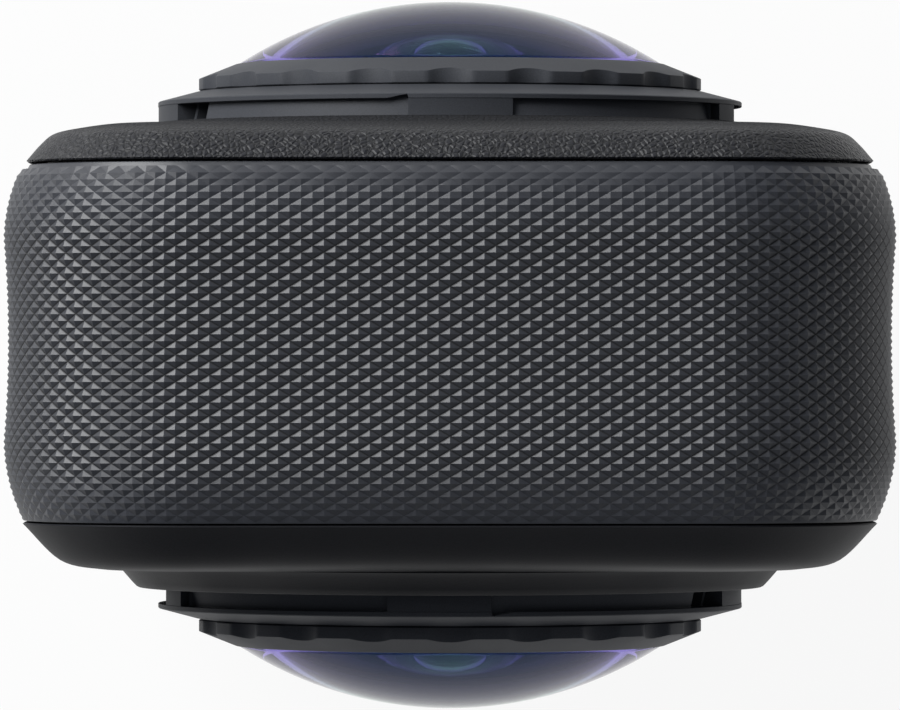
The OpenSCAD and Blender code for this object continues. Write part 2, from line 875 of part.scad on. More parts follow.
module side_switch_board() {
    board_x = side_key_x - side_key_h;
    color("#1f4a36") union() {
        block([board_x - side_board_t, board_front + fit, SIDE_ZS[0] - 6],
            [board_x, side_y + side_key_w, SIDE_ZS[1] + 4]);
        for (z = SIDE_ZS) translate([board_x + side_key_h / 2, side_y, z])
            cube([side_key_h, side_key_w, side_key_w], center = true);
    }
}

// Pocket of one latch slider in the battery cover, on the +X side
module latch_pocket(up) {
    inner = bay_mid + up * (latch_span - latch_l / 2 - latch_travel - run_gap);
    outer = bay_mid + up * (latch_span + latch_l / 2 + run_gap);
    block([half_w - latch_depth, bay_y - latch_w / 2 - run_gap, min(inner, outer)],
        [half_w + OVERCUT, bay_y + latch_w / 2 + run_gap, max(inner, outer)]);
}

module battery_cover() {
    color("#26282a") mirror([1, 0, 0]) difference() {
        union() {
            intersection() {
                band_side(bay_z, bay_top);
                slab_x(inner_x, half_w + OVERCUT) bay_window(-run_gap);
            }
            slab_x(inner_x - plug_h, inner_x) bay_window(-plug_inset);
        }
        for (up = [-1, 1]) latch_pocket(up);
    }
}

module battery_pack() {
    color("#2e3034") translate([-pack_x, pack_rear, pack_z]) cube([pack_l, pack_t, pack_h]);
}

module battery_seal() {
    color("#0e0e0e") mirror([1, 0, 0]) difference() {
        slab_x(inner_x - plug_h + fit, inner_x - fit) bay_window(-run_gap);
        slab_x(inner_x - plug_h - OVERCUT, inner_x + OVERCUT) bay_window(-plug_inset);
    }
}

module battery_latch(up) {
    groove_w = 0.5;
    groove_pitch = 1.2;
    low = half_w - latch_depth + fit;
    mid = bay_mid + up * latch_span;
    color("#3a3c40") mirror([1, 0, 0]) difference() {
        translate([low, bay_y - latch_w / 2, mid - latch_l / 2]) cube([latch_t, latch_w, latch_l]);
        for (i = [-1 : 1]) translate([low + latch_t, bay_y, mid + groove_pitch * i])
            cube([groove_w, 2 * latch_w, groove_w], center = true);
    }
}

module battery_latch_upper() {
    battery_latch(1);
}

module battery_latch_lower() {
    battery_latch(-1);
}

module battery_contacts() {
    contact_x = pack_l - pack_x + 2 * fit;
    color("#c9a24a") block([contact_x, board_front + fit, bay_mid - 6],
        [contact_x + 2, pack_rear + pack_t - 1, bay_mid + 6]);
}

module usb_door() {
    low = door_z + run_gap;
    color("#26282a") difference() {
        intersection() {
            band_side(low, door_z + door_h);
            union() {
                block([inner_x, run_gap - door_rear, low], [half_w + OVERCUT, door_front - run_gap, hinge_z]);
                translate([hinge_x, 0, hinge_z]) pin_y(hinge_r, run_gap - door_rear, door_front - run_gap);
            }
        }
        translate([hinge_x, 0, hinge_z])
            pin_y(pin_r + turn_gap, -door_rear - OVERCUT, door_front + OVERCUT);
    }
}

module usb_door_pin() {
    color("#8a8c90") translate([hinge_x, 0, hinge_z])
        pin_y(pin_r, -door_rear - pin_reach, door_front + pin_reach);
}

module usb_door_seal() {
    face_x = inner_x - fit;
    color("#0e0e0e") slab_x(face_x - seal_t, face_x) translate([port_y, port_z]) difference() {
        square([port_h + 2 * seal_out, port_w + 2 * seal_out], center = true);
        square([port_h + 2 * seal_in, port_w + 2 * seal_in], center = true);
    }
}

module usb_receptacle() {
    mouth = 0.35;
    color("#9a9da2") difference() {
        slab_x(port_x - port_l, port_x) translate([port_y, port_z]) pill(port_h, port_w);
        slab_x(port_x - port_l + 1, port_x + OVERCUT) translate([port_y, port_z])
            difference() {
                pill(port_h - 2 * mouth, port_w - 2 * mouth);
                square([0.7, port_w - 2.6], center = true);
            }
    }
}

module sd_slot() {
    mouth_x = slot_mouth - card_x;
    half = card_w / 2;
    color("#9a9da2") difference() {
        block([mouth_x, bay_y - half - slot_wall, card_slot_z],
            [slot_end + slot_back, bay_y + half + slot_wall, card_z + card_t + fit + slot_wall]);
        block([mouth_x - OVERCUT, bay_y - half - fit, card_slot_z + slot_wall],
            [slot_end, bay_y + half + fit, card_z + card_t + fit]);
    }
}

module sd_card() {
    color("#141416") translate([-card_x, bay_y - card_w / 2, card_z]) cube([card_l, card_w, card_t]);
}

module chassis() {
    stand_y = -(plate_y + plate_t);
    color("#8d9094") difference() {
        union() {
            block([-shelf_half, -chassis_half, shelf_top],
                [shelf_half, chassis_half, low_boss[1] + chassis_edge]);
            block([-top_boss[0] - chassis_edge, -chassis_half, shelf_top],
                [top_boss[0] + chassis_edge, chassis_half, top_boss[1] + chassis_edge]);
            block([-shelf_half, stand_y, shelf_top], [shelf_half, bay_front, shelf_top + shelf_t]);
            block([-shelf_half, stand_y, shelf_low - shelf_t], [plate_x, -plate_y, shelf_top + shelf_t]);
            block([-shelf_half, key_board_y + key_board_t + fit, shelf_low - shelf_t],
                [shelf_half, bay_front, shelf_low]);
            block([slot_mouth - card_x, -plate_y, shelf_low],
                [slot_end, bay_front - 1, shelf_low + riser]);
            for (x = stand_xs, z = stand_zs) translate([x, 0, z])
                pin_y(stand_r, board_front + fit, -plate_y);
        }
        for (x = stand_xs, z = stand_zs) translate([x, 0, z])
            pin_y(screw_r + fit, board_front - OVERCUT, OVERCUT - plate_y);
        for (p = BOSSES, s = [-1, 1]) translate([s * p[0], 0, p[1]])
            pin_y(screw_r + fit, stand_y, boss_depth);
        block([-flex_x - flex_w / 2 - flex_room, -OVERCUT, slot_z0],
            [-flex_x + flex_w / 2 + flex_room, OVERCUT, slot_z1]);
        block([-inner_x, stand_y - OVERCUT, shelf_low],
            [slot_end + slot_back + flex_room, -plate_y, board_z0 - flex_room]);
    }
}

module chassis_screws() {
    color("#88898c") for (p = BOSSES, s = [-1, 1]) translate([s * p[0], 0, p[1]]) union() {
        pin_y(screw_head_r, -chassis_half - fit - screw_head_h, -chassis_half - fit);
        pin_y(screw_r, -chassis_half - screw_head_h, boss_depth - 0.5);
    }
}

module main_board() {
    color("#1f4a36") difference() {
        block([-board_half, board_rear, board_z0], [board_half, board_front, board_z1]);
        for (x = stand_xs, z = stand_zs) translate([x, 0, z])
            pin_y(screw_r + fit, board_rear - OVERCUT, board_front + OVERCUT);
    }
}

module board_screws() {
    color("#88898c") for (x = stand_xs, z = stand_zs) translate([x, 0, z]) union() {
        pin_y(screw_head_r, board_rear - fit - screw_head_h, board_rear - fit);
        pin_y(screw_r, board_rear - screw_head_h, -plate_y - 0.2);
    }
}

// A chip on the rear of the main board, by its lower left corner
module chip(x, z, w, h, t) {
    translate([x, board_rear - fit - t, z]) cube([w, t, h]);
}

module processor() {
    color("#17181a") {
        chip(chip_x - chip_w, chip_low, chip_w, chip_w, chip_t);
        chip(chip_x - ram_gap - ram_w, chip_low - ram_gap - ram_w, ram_w, ram_w, ram_t);
        chip(chip_x - chip_w - radio_gap - radio_w, chip_low + radio_gap, radio_w, radio_h, radio_t);
    }
}

module thermal_pad() {
    color("#b9bec4") block([chip_x - chip_w, board_front + fit, chip_low],
        [chip_x, -plate_y - plate_t - fit, chip_low + chip_w]);
}

module heat_spreader() {
    face_y = cover_in - fit;
    half = shelf_half - spreader_side;
    color("#c4c7cb") block([-half, face_y - spreader_t, bay_z + spreader_end],
        [half, face_y, bay_top - spreader_end]);
}

module audio_parts() {
    front_face = cover_in - fit;
    rear_face = fit - rear_in;
    color("#4a4c50") {
        block([-speaker_half, front_face - speaker_t, speaker_z],
            [speaker_half, front_face, speaker_z + speaker_h]);
        for (s = [-1, 1]) {
            translate([s * front_mic[0], front_face - mic_size[1] / 2, front_mic[1]])
                cube(mic_size, center = true);
            translate([s * rear_mic[0], rear_face + mic_size[1] / 2, rear_mic[1]])
                cube(mic_size, center = true);
        }
    }
}

module antenna() {
    top = body_h - wall - fit;
    color("#b58a3c") block([corner_r - half_w, 1.5, top - 0.5], [half_w - corner_r, bay_front, top]);
}

module status_lights() {
    color("#dfe6ea") {
        translate([0, 0, front_light_z]) pin_y(light_r, cover_in - light_sink, front_y);
        translate([0, 0, rear_light_z]) pin_y(light_r, -rear_y, -rear_in + light_sink);
    }
}

grip_frame();
front_cover();
rear_cover();
rear_lens_base();
base_plate();
base_screws();
tripod_socket();
front_bayonet_ring();
rear_bayonet_ring();
front_lens_ring();
rear_lens_ring();
front_lens_dome();
rear_lens_dome();
front_lens_seal();
rear_lens_seal();
front_lens_barrel();
rear_lens_barrel();
front_second_element();
rear_second_element();
front_lens_group();
rear_lens_group();
front_image_sensor();
rear_image_sensor();
front_sensor_board();
rear_sensor_board();
front_sensor_flex();
rear_sensor_flex();
lens_screws();
touchscreen_glass();
screen_gasket();
display_panel();
display_flex();
shutter_button();
view_button();
button_board();
power_button();
quick_button();
side_switch_board();
battery_cover();
battery_pack();
battery_seal();
battery_latch_upper();
battery_latch_lower();
battery_contacts();
usb_door();
usb_door_pin();
usb_door_seal();
usb_receptacle();
sd_slot();
sd_card();
chassis();
chassis_screws();
main_board();
board_screws();
processor();
thermal_pad();
heat_spreader();
audio_parts();
antenna();
status_lights();
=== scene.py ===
# 360 degree camera: the look of every piece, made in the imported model's frame
import json
import math

import bmesh
import bpy
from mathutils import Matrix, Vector


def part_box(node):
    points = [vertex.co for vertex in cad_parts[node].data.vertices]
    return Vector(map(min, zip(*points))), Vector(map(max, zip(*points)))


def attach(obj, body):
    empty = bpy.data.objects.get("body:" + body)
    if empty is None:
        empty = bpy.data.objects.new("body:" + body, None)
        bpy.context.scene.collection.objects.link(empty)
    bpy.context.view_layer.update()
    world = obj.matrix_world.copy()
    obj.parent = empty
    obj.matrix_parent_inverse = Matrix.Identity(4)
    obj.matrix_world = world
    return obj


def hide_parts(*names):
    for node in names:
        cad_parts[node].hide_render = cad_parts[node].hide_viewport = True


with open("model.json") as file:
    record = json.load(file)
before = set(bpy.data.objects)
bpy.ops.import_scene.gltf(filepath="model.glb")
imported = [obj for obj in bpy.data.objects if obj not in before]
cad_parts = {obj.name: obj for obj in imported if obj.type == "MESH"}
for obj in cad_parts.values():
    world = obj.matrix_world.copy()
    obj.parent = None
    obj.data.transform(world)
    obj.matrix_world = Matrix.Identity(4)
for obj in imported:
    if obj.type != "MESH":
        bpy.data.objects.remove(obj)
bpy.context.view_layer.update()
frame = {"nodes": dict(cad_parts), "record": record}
scene = bpy.context.scene
MM = 0.001


def span(node):
    """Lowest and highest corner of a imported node, in millimetres."""
    low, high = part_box(node)
    return low / MM, high / MM


# Sizes in millimetres: +Z is up, +Y is the front lens side, -Y is the screen side
BAND_LOW, BAND_HIGH = span("grip_frame")
HALF_W = BAND_HIGH.x
BODY_H = BAND_HIGH.z
BAND_FRONT = BAND_HIGH.y
BAND_REAR = -BAND_LOW.y
CREST_FRONT = 5.9
CREST_REAR = 4.4
FRONT_DRAW = 0.9
EDGE_ROLL = 0.25
EDGE_ROLL_START = 0.85
REAR_DRAW = 1.0
WAIST = 0.22
WALL = 2.2
CORNER_R = 10.0
FIT = 0.05
RUN_GAP = 0.12

# Modelling: overruns of cutters, radius of a turned profile at its axis, small slack, steps of a turn
FAR = 3.0
OVER = 1.0
TIP = 0.002
SLACK = 0.01
LENS_STEPS = 160
HOLE_STEPS = 40

# Angles in degrees above which an edge is shaded sharp
TEXTURE_SHARP = 18
RING_SHARP = 25
COVER_SHARP = 28
SCREEN_SHARP = 35
GLASS_SHARP = 40

# Outline of the body seen from the front
RUN_X = HALF_W - CORNER_R
RUN_Z = BODY_H - 2 * CORNER_R
ARC = math.pi * CORNER_R / 2
PERIMETER = 4 * RUN_X + 2 * RUN_Z + 4 * ARC
COVER_ARC_STEPS = 28
COVER_RUN_STEPS = 10

# Pyramid texture of the grip: 280 pyramids round the body, rows half a pyramid apart
COLUMNS = 560
COLUMN_STOPS = [PERIMETER * i / COLUMNS for i in range(COLUMNS)]
ROW_PITCH = 0.343
ROW_START = 2.76
TEXTURE_DEPTH = 0.165
FRONT_FADE = 0.55
FRONT_FADE_POWER = 1.3
REAR_FADE = 0.5
REAR_FADE_POWER = 2
STRIP_W = 0.15
STRIP_RISE = 0.08
STRIP_INSET = 1.24
STRIP_FALL = 0.1
STRIP_LAP = 0.03

# Lenses
GLASS_LOW, GLASS_HIGH = span("front_lens_dome")
GLASS_R = GLASS_HIGH.x
LENS_Z = (GLASS_LOW.z + GLASS_HIGH.z) / 2
DOME_APEX = GLASS_HIGH.y
FRONT_FLAT = 11.9
REAR_FLAT = 11.0
COVER_T = 1.5
SEAT_Y = 12.3


def outline(s, inset):
    """X and Z at distance s round the outline from its top middle, drawn in by inset."""
    s = s % PERIMETER
    side = 1 if s <= PERIMETER / 2 else -1
    s = s if side > 0 else PERIMETER - s
    corner_end = RUN_X + ARC
    side_end = corner_end + RUN_Z
    if s <= RUN_X:
        x, z, turn = s, BODY_H, 0.0
    elif s <= corner_end:
        turn = (s - RUN_X) / CORNER_R
        x = RUN_X + CORNER_R * math.sin(turn)
        z = BODY_H - CORNER_R + CORNER_R * math.cos(turn)
    elif s <= side_end:
        x, z, turn = HALF_W, BODY_H - CORNER_R - (s - corner_end), math.pi / 2
    elif s <= side_end + ARC:
        turn = math.pi / 2 + (s - side_end) / CORNER_R
        x = RUN_X + CORNER_R * math.sin(turn)
        z = CORNER_R + CORNER_R * math.cos(turn)
    else:
        x, z, turn = RUN_X - (s - side_end - ARC), 0.0, math.pi
    return side * (x - inset * math.sin(turn)), z - inset * math.cos(turn)


def outline_stops(arc_steps, run_steps):
    """Distances round the outline, close together on the corners."""
    lengths = [RUN_X, ARC, RUN_Z, ARC, 2 * RUN_X, ARC, RUN_Z, ARC, RUN_X]
    stops = []
    start = 0.0
    for length in lengths:
        steps = arc_steps if length == ARC else run_steps
        stops += [start + length * i / steps for i in range(steps)]
        start += length
    return stops


def band_inset(y):
    """How far the band's surface is drawn in from the outline at depth y."""
    if y > CREST_FRONT:
        share = (y - CREST_FRONT) / (BAND_FRONT - CREST_FRONT)
        roll = max(0.0, (share - EDGE_ROLL_START) / (1 - EDGE_ROLL_START))
        return FRONT_DRAW * share ** 2 + EDGE_ROLL * roll ** 2
    if y < -CREST_REAR:
        return REAR_DRAW * ((-CREST_REAR - y) / (BAND_REAR - CREST_REAR)) ** 2
    return WAIST * (1 - ((2 * y - CREST_FRONT + CREST_REAR) / (CREST_FRONT + CREST_REAR)) ** 2)


def new_object(name, verts, faces):
    """A mesh object from points in millimetres, with its faces turned outwards."""
    mesh = bpy.data.meshes.new(name)
    mesh.from_pydata([(x * MM, y * MM, z * MM) for x, y, z in verts], [], faces)
    work = bmesh.new()
    work.from_mesh(mesh)
    bmesh.ops.recalc_face_normals(work, faces=work.faces)
    work.to_mesh(mesh)
    work.free()
    obj = bpy.data.objects.new(name, mesh)
    scene.collection.objects.link(obj)
    return obj


def joined_rings(rings, closed):
    """Points and quads of rings of equal length.

    Closed joins the last ring to the first. Otherwise both ends are capped.
    """
    count = len(rings[0])
    verts = [point for ring in rings for point in ring]
    faces = []
    for r in range(len(rings) if closed else len(rings) - 1):
        a = r * count
        b = ((r + 1) % len(rings)) * count
        for i in range(count):
            j = (i + 1) % count
            faces.append((a + i, a + j, b + j, b + i))
    if not closed:
        faces.append(tuple(range(count)))
        faces.append(tuple(range((len(rings) - 1) * count, len(rings) * count)))
    return verts, faces


def lofted(name, rings, closed=False):
    verts, faces = joined_rings(rings, closed)
    return new_object(name, verts, faces)


def round_body(profile, stops):
    """Rings of a profile of inset and depth carried round the body's outline."""
    rings = []
    for inset, y in profile:
        flat = [outline(s, inset) for s in stops]
        rings.append([(x, y, z) for x, z in flat])
    return rings


def turned(name, profile, steps, face=1, closed=True, middle=(0, LENS_Z)):
    """A profile of radius and depth turned round an axis along Y; face is 1 for front, -1 for rear."""
    rings = []
    for radius, depth in profile:
        ring = []
        for i in range(steps):
            a = 2 * math.pi * i / steps
            x = middle[0] + face * radius * math.sin(a)
            z = middle[1] + radius * math.cos(a)
            ring.append((x, face * depth, z))
        rings.append(ring)
    return lofted(name, rings, closed)


def smooth_curve(points, steps):
    """Points on a smooth curve through the given ones."""
    first = [2 * a - b for a, b in zip(points[0], points[1])]
    last = [2 * a - b for a, b in zip(points[-1], points[-2])]
    ends = [first] + [list(p) for p in points] + [last]
    curve = []
    for k in range(1, len(ends) - 2):
        for i in range(steps):
            t = i / steps
            curve.append(tuple(
                0.5 * (2 * b + (c - a) * t + (2 * a - 5 * b + 4 * c - d) * t ** 2
                       + (3 * b - a - 3 * c + d) * t ** 3)
                for a, b, c, d in zip(*ends[k - 1:k + 3])))
    curve.append(tuple(points[-1]))
    return curve


def combine(obj, others, operation):
    """Adds or cuts other solids, which are used up."""
    for other in others:
        modifier = obj.modifiers.new("combine", "BOOLEAN")
        modifier.operation = operation
        modifier.solver = "MANIFOLD"
        modifier.object = other
    graph = bpy.context.evaluated_depsgraph_get()
    mesh = bpy.data.meshes.new_from_object(obj.evaluated_get(graph))
    obj.modifiers.clear()
    obj.data = mesh
    for other in others:
        bpy.data.objects.remove(other)
    return obj


def shade(obj, angle=30):
    """Smooth faces with sharp edges above the angle in degrees."""
    for polygon in obj.data.polygons:
        polygon.use_smooth = True
    obj.data.set_sharp_from_angle(angle=math.radians(angle))
    return obj


def rounded_rect(w, h, r, steps=6):
    """Outline of a rectangle with round corners, about its middle."""
    points = []
    for k, (sx, sy) in enumerate([(1, 1), (-1, 1), (-1, -1), (1, -1)]):
        for i in range(steps + 1):
            a = math.pi / 2 * (k + i / steps)
            points.append((sx * (w / 2 - r) + r * math.cos(a), sy * (h / 2 - r) + r * math.sin(a)))
    return points


def circle(r, steps=48):
    return [(r * math.cos(2 * math.pi * i / steps), r * math.sin(2 * math.pi * i / steps))
            for i in range(steps)]


def stacked(name, shape, levels, place):
    """A solid of flat outlines, one for each level of inset and height.

    shape(inset) gives an outline, and place(u, v, height) puts its points in space.
    """
    rings = []
    for inset, height in levels:
        rings.append([place(u, v, height) for u, v in shape(inset)])
    return lofted(name, rings)


def box_solid(name, low, high):
    corners = [(low[0], low[2]), (high[0], low[2]), (high[0], high[2]), (low[0], high[2])]
    return lofted(name, [[(x, y, z) for x, z in corners] for y in (low[1], high[1])])


def on_side(node):
    """Places a flat outline on a side of the body, about the middle of a node's box."""
    low, high = span(node)
    middle = (low + high) / 2
    return lambda u, v, h: (h, middle.y + u, middle.z + v)


def spoke(profile, a, face):
    """A profile of radius and depth stood up at an angle round the lens axis."""
    return [(face * r * math.sin(a), face * y, LENS_Z + r * math.cos(a)) for r, y in profile]


def pin_y(name, r, x, z, y0, y1, steps=32):
    """A round cutter along Y."""
    return lofted(name, [[(x + u, y, z + v) for u, v in circle(r, steps)] for y in (y0, y1)])


# Grip band, battery cover and connector door share one texture
def texture_rows():
    """Depth and number of each texture row from front to rear, evenly spaced along the surface."""
    def walk(sign, end):
        rows = []
        y = ROW_START
        number = 0
        while sign * (end - y) > 0:
            rows.append((y, number))
            lean = (band_inset(y + SLACK) - band_inset(y - SLACK)) / (2 * SLACK)
            y += sign * ROW_PITCH / math.hypot(1, lean)
            number += sign
        return rows, number
    strip_low = BAND_FRONT - STRIP_W
    front, number = walk(1, strip_low - ROW_PITCH / 4)
    front.append((strip_low, number))
    rear = walk(-1, STRIP_W / 2 - BAND_REAR)[0]
    return front[::-1] + rear[1:]


def texture_depth(y):
    """Depth of the grooves, shallower towards the edges of the band."""
    front = max(0.0, (y - CREST_FRONT) / (BAND_FRONT - CREST_FRONT))
    rear = max(0.0, (-CREST_REAR - y) / (BAND_REAR - CREST_REAR))
    front_loss = FRONT_FADE * front ** FRONT_FADE_POWER
    rear_loss = REAR_FADE * rear ** REAR_FADE_POWER
    return TEXTURE_DEPTH * (1 - front_loss - rear_loss)


def textured_band(name):
    """Closed solid of the whole band, its outside covered with four-sided pyramids."""
    rows = texture_rows()
    rings = []
    for y, number in rows:
        groove = texture_depth(y)
        depths = [0.0 if (i + number) % 2 else groove for i in range(COLUMNS)]
        flat = [outline(s, band_inset(y) + depth) for s, depth in zip(COLUMN_STOPS, depths)]
        rings.append([(x, y, z) for x, z in flat])
    inside = [(REAR_DRAW + TEXTURE_DEPTH / 4, -BAND_REAR), (WALL, -BAND_REAR), (WALL, rows[0][0])]
    rings += round_body(inside, COLUMN_STOPS)
    verts, quads = joined_rings(rings, True)
    faces = []
    for k, (a, b, c, d) in enumerate(quads):
        row, column = divmod(k, COLUMNS)
        if row >= len(rows) - 1:
            faces.append((a, b, c, d))
        elif (column + rows[row][1]) % 2:
            faces += [(a, b, d), (b, c, d)]
        else:
            faces += [(a, b, c), (a, c, d)]
    return new_object(name, verts, faces)


def body_inset(x, z):
    """How far a point lies inside the outline of the body seen from the front."""
    over_x = abs(x) - RUN_X
    over_z = abs(z - BODY_H / 2) - RUN_Z / 2
    outside = math.hypot(max(over_x, 0), max(over_z, 0))
    return CORNER_R - outside - min(max(over_x, over_z), 0)


def mark_peaks(obj):
    """Stores each point's height in the texture, 1 on a peak and 0 in a groove, for the material's painted
    groove shade and roughness.
    """
    field = obj.data.attributes.new("peak", "FLOAT", "POINT")
    for vertex, value in zip(obj.data.vertices, field.data):
        x, y, z = vertex.co / MM
        inset = body_inset(x, z)
        height = 1 - (inset - band_inset(y)) / TEXTURE_DEPTH
        on_strip = y > BAND_FRONT - STRIP_W - STRIP_LAP - SLACK and inset > STRIP_INSET - STRIP_LAP
        value.value = 1.0 if on_strip else min(1.0, max(0.0, height))
    return obj


def edge_strip():
    """Smooth narrow strip along the band's front edge."""
    low = BAND_FRONT - STRIP_W
    high = BAND_FRONT + STRIP_RISE
    edge = STRIP_INSET + STRIP_FALL
    profile = [
        (STRIP_INSET - STRIP_LAP / 2, low - STRIP_LAP), (STRIP_INSET, low), (edge, high - STRIP_LAP),
        (edge + STRIP_LAP, high), (WALL - STRIP_W, high), (WALL - STRIP_W, low - STRIP_LAP),
    ]
    return lofted("edge_strip", round_body(profile, COLUMN_STOPS), closed=True)


def pill(w, length, steps=12):
    points = []
    for k in range(2):
        for i in range(steps + 1):
            a = math.pi * (k + i / steps)
            lift = (length - w) / 2 * (1 if k == 0 else -1)
            points.append((w / 2 * math.cos(a), lift + w / 2 * math.sin(a)))
    return points


SIDE_BUTTON_W = 3.4
SIDE_BUTTON_L = 8.0
BAY_LOW, BAY_HIGH = span("battery_cover")
DOOR_LOW, DOOR_HIGH = span("usb_door")
BASE_LOW, BASE_HIGH = span("base_plate")
BASE_W = BASE_HIGH.x - BASE_LOW.x
BASE_D = BASE_HIGH.y - BASE_LOW.y
BASE_Y = (BASE_LOW.y + BASE_HIGH.y) / 2
BASE_CORNER = 2.0
SOCKET_HIGH = span("tripod_socket")[1]
SOCKET_R = 4.45
INNER_X = HALF_W - WALL
COLLAR_T = 0.9
COLLAR_H = 1.4
PLUG_H = 1.2
PLUG_INSET = 0.75
LATCH_DEPTH = 1.3
LATCH_TRAVEL = 2.0
HINGE_R = 1.1
HINGE_X = HALF_W - HINGE_R
HINGE_Z = DOOR_HIGH.z - HINGE_R
PIN_R = 0.56
WALL_BITE = 0.3
NAIL_R = 2.4
NAIL_OUT = 1.5
NAIL_STRETCH = 1.5
NAIL_RISE = 1.4


def window(low, high, x0, x1, grow):
    """Cutter through one side wall in the outline of a node's box."""
    return box_solid("window", (x0, low.y - grow, low.z - grow), (x1, high.y + grow, high.z + grow))


def make_grip_frame():
    obj = textured_band("grip_frame_textured")
    collar = window(BAY_LOW, BAY_HIGH, -INNER_X - WALL_BITE, COLLAR_H - INNER_X, RUN_GAP + COLLAR_T)
    combine(obj, [edge_strip(), collar], "UNION")
    cutters = [
        window(BAY_LOW, BAY_HIGH, -HALF_W - FAR, COLLAR_H + FAR - INNER_X, RUN_GAP),
        window(DOOR_LOW, DOOR_HIGH, INNER_X - FAR, HALF_W + FAR, RUN_GAP),
    ]
    button_shape = pill(SIDE_BUTTON_W, SIDE_BUTTON_L)
    through = [(0, INNER_X - FAR), (0, HALF_W + FAR)]
    for name in ("power_button", "quick_button"):
        cutters.append(stacked("pill_hole", lambda inset: button_shape, through, on_side(name)))
    base_shape = rounded_rect(BASE_W + 2 * FIT, BASE_D + 2 * FIT, BASE_CORNER + FIT)
    cutters.append(stacked("base_hole", lambda inset: base_shape, [(0, -FAR), (0, BASE_HIGH.z + FIT)],
                           lambda u, v, h: (u, BASE_Y + v, h)))
    socket_levels = [(0, -FAR), (0, WALL + FAR)]
    cutters.append(stacked("socket_hole", lambda inset: circle(SOCKET_R + FIT), socket_levels,
                           lambda u, v, h: (u, v, h)))
    combine(obj, cutters, "DIFFERENCE")
    return shade(mark_peaks(obj), TEXTURE_SHARP)


def make_battery_cover():
    obj = textured_band("battery_cover_textured")
    combine(obj, [window(BAY_LOW, BAY_HIGH, -HALF_W - FAR, -INNER_X, 0)], "INTERSECT")
    plug = window(BAY_LOW, BAY_HIGH, -INNER_X - WALL_BITE, PLUG_H - INNER_X, RUN_GAP - PLUG_INSET)
    combine(obj, [plug], "UNION")
    pockets = []
    for name, slide in (("battery_latch_upper", -1), ("battery_latch_lower", 1)):
        low, high = span(name)
        grow = Vector((0, RUN_GAP, RUN_GAP))
        low, high = low - grow, high + grow
        low.z += min(slide, 0) * LATCH_TRAVEL
        high.z += max(slide, 0) * LATCH_TRAVEL
        outer = (-HALF_W - FAR, low.y, low.z)
        inner = (LATCH_DEPTH - HALF_W, high.y, high.z)
        pockets.append(box_solid("pocket", outer, inner))
    combine(obj, pockets, "DIFFERENCE")
    return shade(mark_peaks(obj), TEXTURE_SHARP)


def make_usb_door():
    obj = textured_band("usb_door_textured")
    leaf = box_solid("leaf", (INNER_X, DOOR_LOW.y, DOOR_LOW.z), (HALF_W + FAR, DOOR_HIGH.y, HINGE_Z))
    barrel = pin_y("barrel", HINGE_R, HINGE_X, HINGE_Z, DOOR_LOW.y, DOOR_HIGH.y, steps=48)
    combine(leaf, [barrel], "UNION")
    combine(obj, [leaf], "INTERSECT")
    middle = (DOOR_LOW.y + DOOR_HIGH.y) / 2
    nail_levels = [(0, DOOR_LOW.z - OVER), (0, DOOR_LOW.z + NAIL_RISE)]
    nail = stacked("nail_notch", lambda inset: circle(NAIL_R), nail_levels,
                   lambda u, v, h: (HALF_W + NAIL_OUT + u, middle + v * NAIL_STRETCH, h))
    hole = pin_y("hinge_hole", PIN_R, HINGE_X, HINGE_Z, DOOR_LOW.y - OVER, DOOR_HIGH.y + OVER)
    combine(obj, [hole, nail], "DIFFERENCE")
    return shade(mark_peaks(obj), TEXTURE_SHARP)


# Covers
SEAM = 0.1
LIP_T = 1.0
LIP_H = 1.2
EDGE_ROUND = 0.08
EDGE_LIFT = 0.1
FRONT_INSET = 1.2
FRONT_SLOPE = 4.5
REAR_SLOPE = 3.9
FRONT_EDGE = [(0, 0.05), (0.16, 0.46), (0.32, 0.74), (0.62, 0.89), (1, 1), (1.35, 1)]
REAR_EDGE = [(0, 0.03), (0.49, 0.81), (1, 1), (1.35, 1)]
BEND_STEPS = 7
BARREL_R = 11.2
BORE_DEPTH = 5.0
BORE_OVER = 2.0
FRONT_FOOT_R = 17.31
FRONT_CROWN_R = 15.71
REAR_FOOT_R = 17.91
REAR_CROWN_R = 16.61
FOOT_BURIED = 1.0
FOOT_CURVE = [(0.35, 0.22), (0.75, 0.72)]
CROWN_ROUND = [(0.06, 0.06), (-0.04, 0.01), (-0.2, 0)]


def cover(name, shares, inset, slope, edge, flat, side, lift=0.0):
    """Tray with a bent edge: side is 1 for the front and -1 for the rear; lift widens the seam."""
    low = edge + SEAM + lift
    bend = smooth_curve([(inset + a * slope, low + b * (flat - low)) for a, b in shares], BEND_STEPS)
    profile = bend[::-1] + [
        (inset, low + EDGE_ROUND), (inset + EDGE_ROUND, low),
        (WALL + SEAM, low), (WALL + SEAM, low - LIP_H), (WALL + SEAM + LIP_T, low - LIP_H),
        (WALL + SEAM + LIP_T, flat - COVER_T), (inset + slope, flat - COVER_T),
    ]
    stops = outline_stops(COVER_ARC_STEPS, COVER_RUN_STEPS)
    return lofted(name, round_body([(i, side * y) for i, y in profile], stops))


def lens_foot(name, foot_r, crown_r, low, buried, face):
    """Raised round base with a soft foot and a rounded crown edge."""
    rise = SEAT_Y - low
    profile = [(foot_r, buried), (foot_r, low)]
    profile += [(foot_r - a * (foot_r - crown_r), low + b * rise) for a, b in FOOT_CURVE]
    profile += [(crown_r + a, SEAT_Y - b) for a, b in CROWN_ROUND]
    profile += [(BARREL_R + FIT, SEAT_Y), (BARREL_R + FIT, buried)]
    return turned(name, profile, LENS_STEPS, face)


def lens_bore(flat, face):
    """Cutter for a lens barrel through a cover."""
    profile = [(BARREL_R + FIT, flat - BORE_DEPTH), (BARREL_R + FIT, flat + BORE_OVER)]
    return turned("bore", profile, LENS_STEPS, face, closed=False)


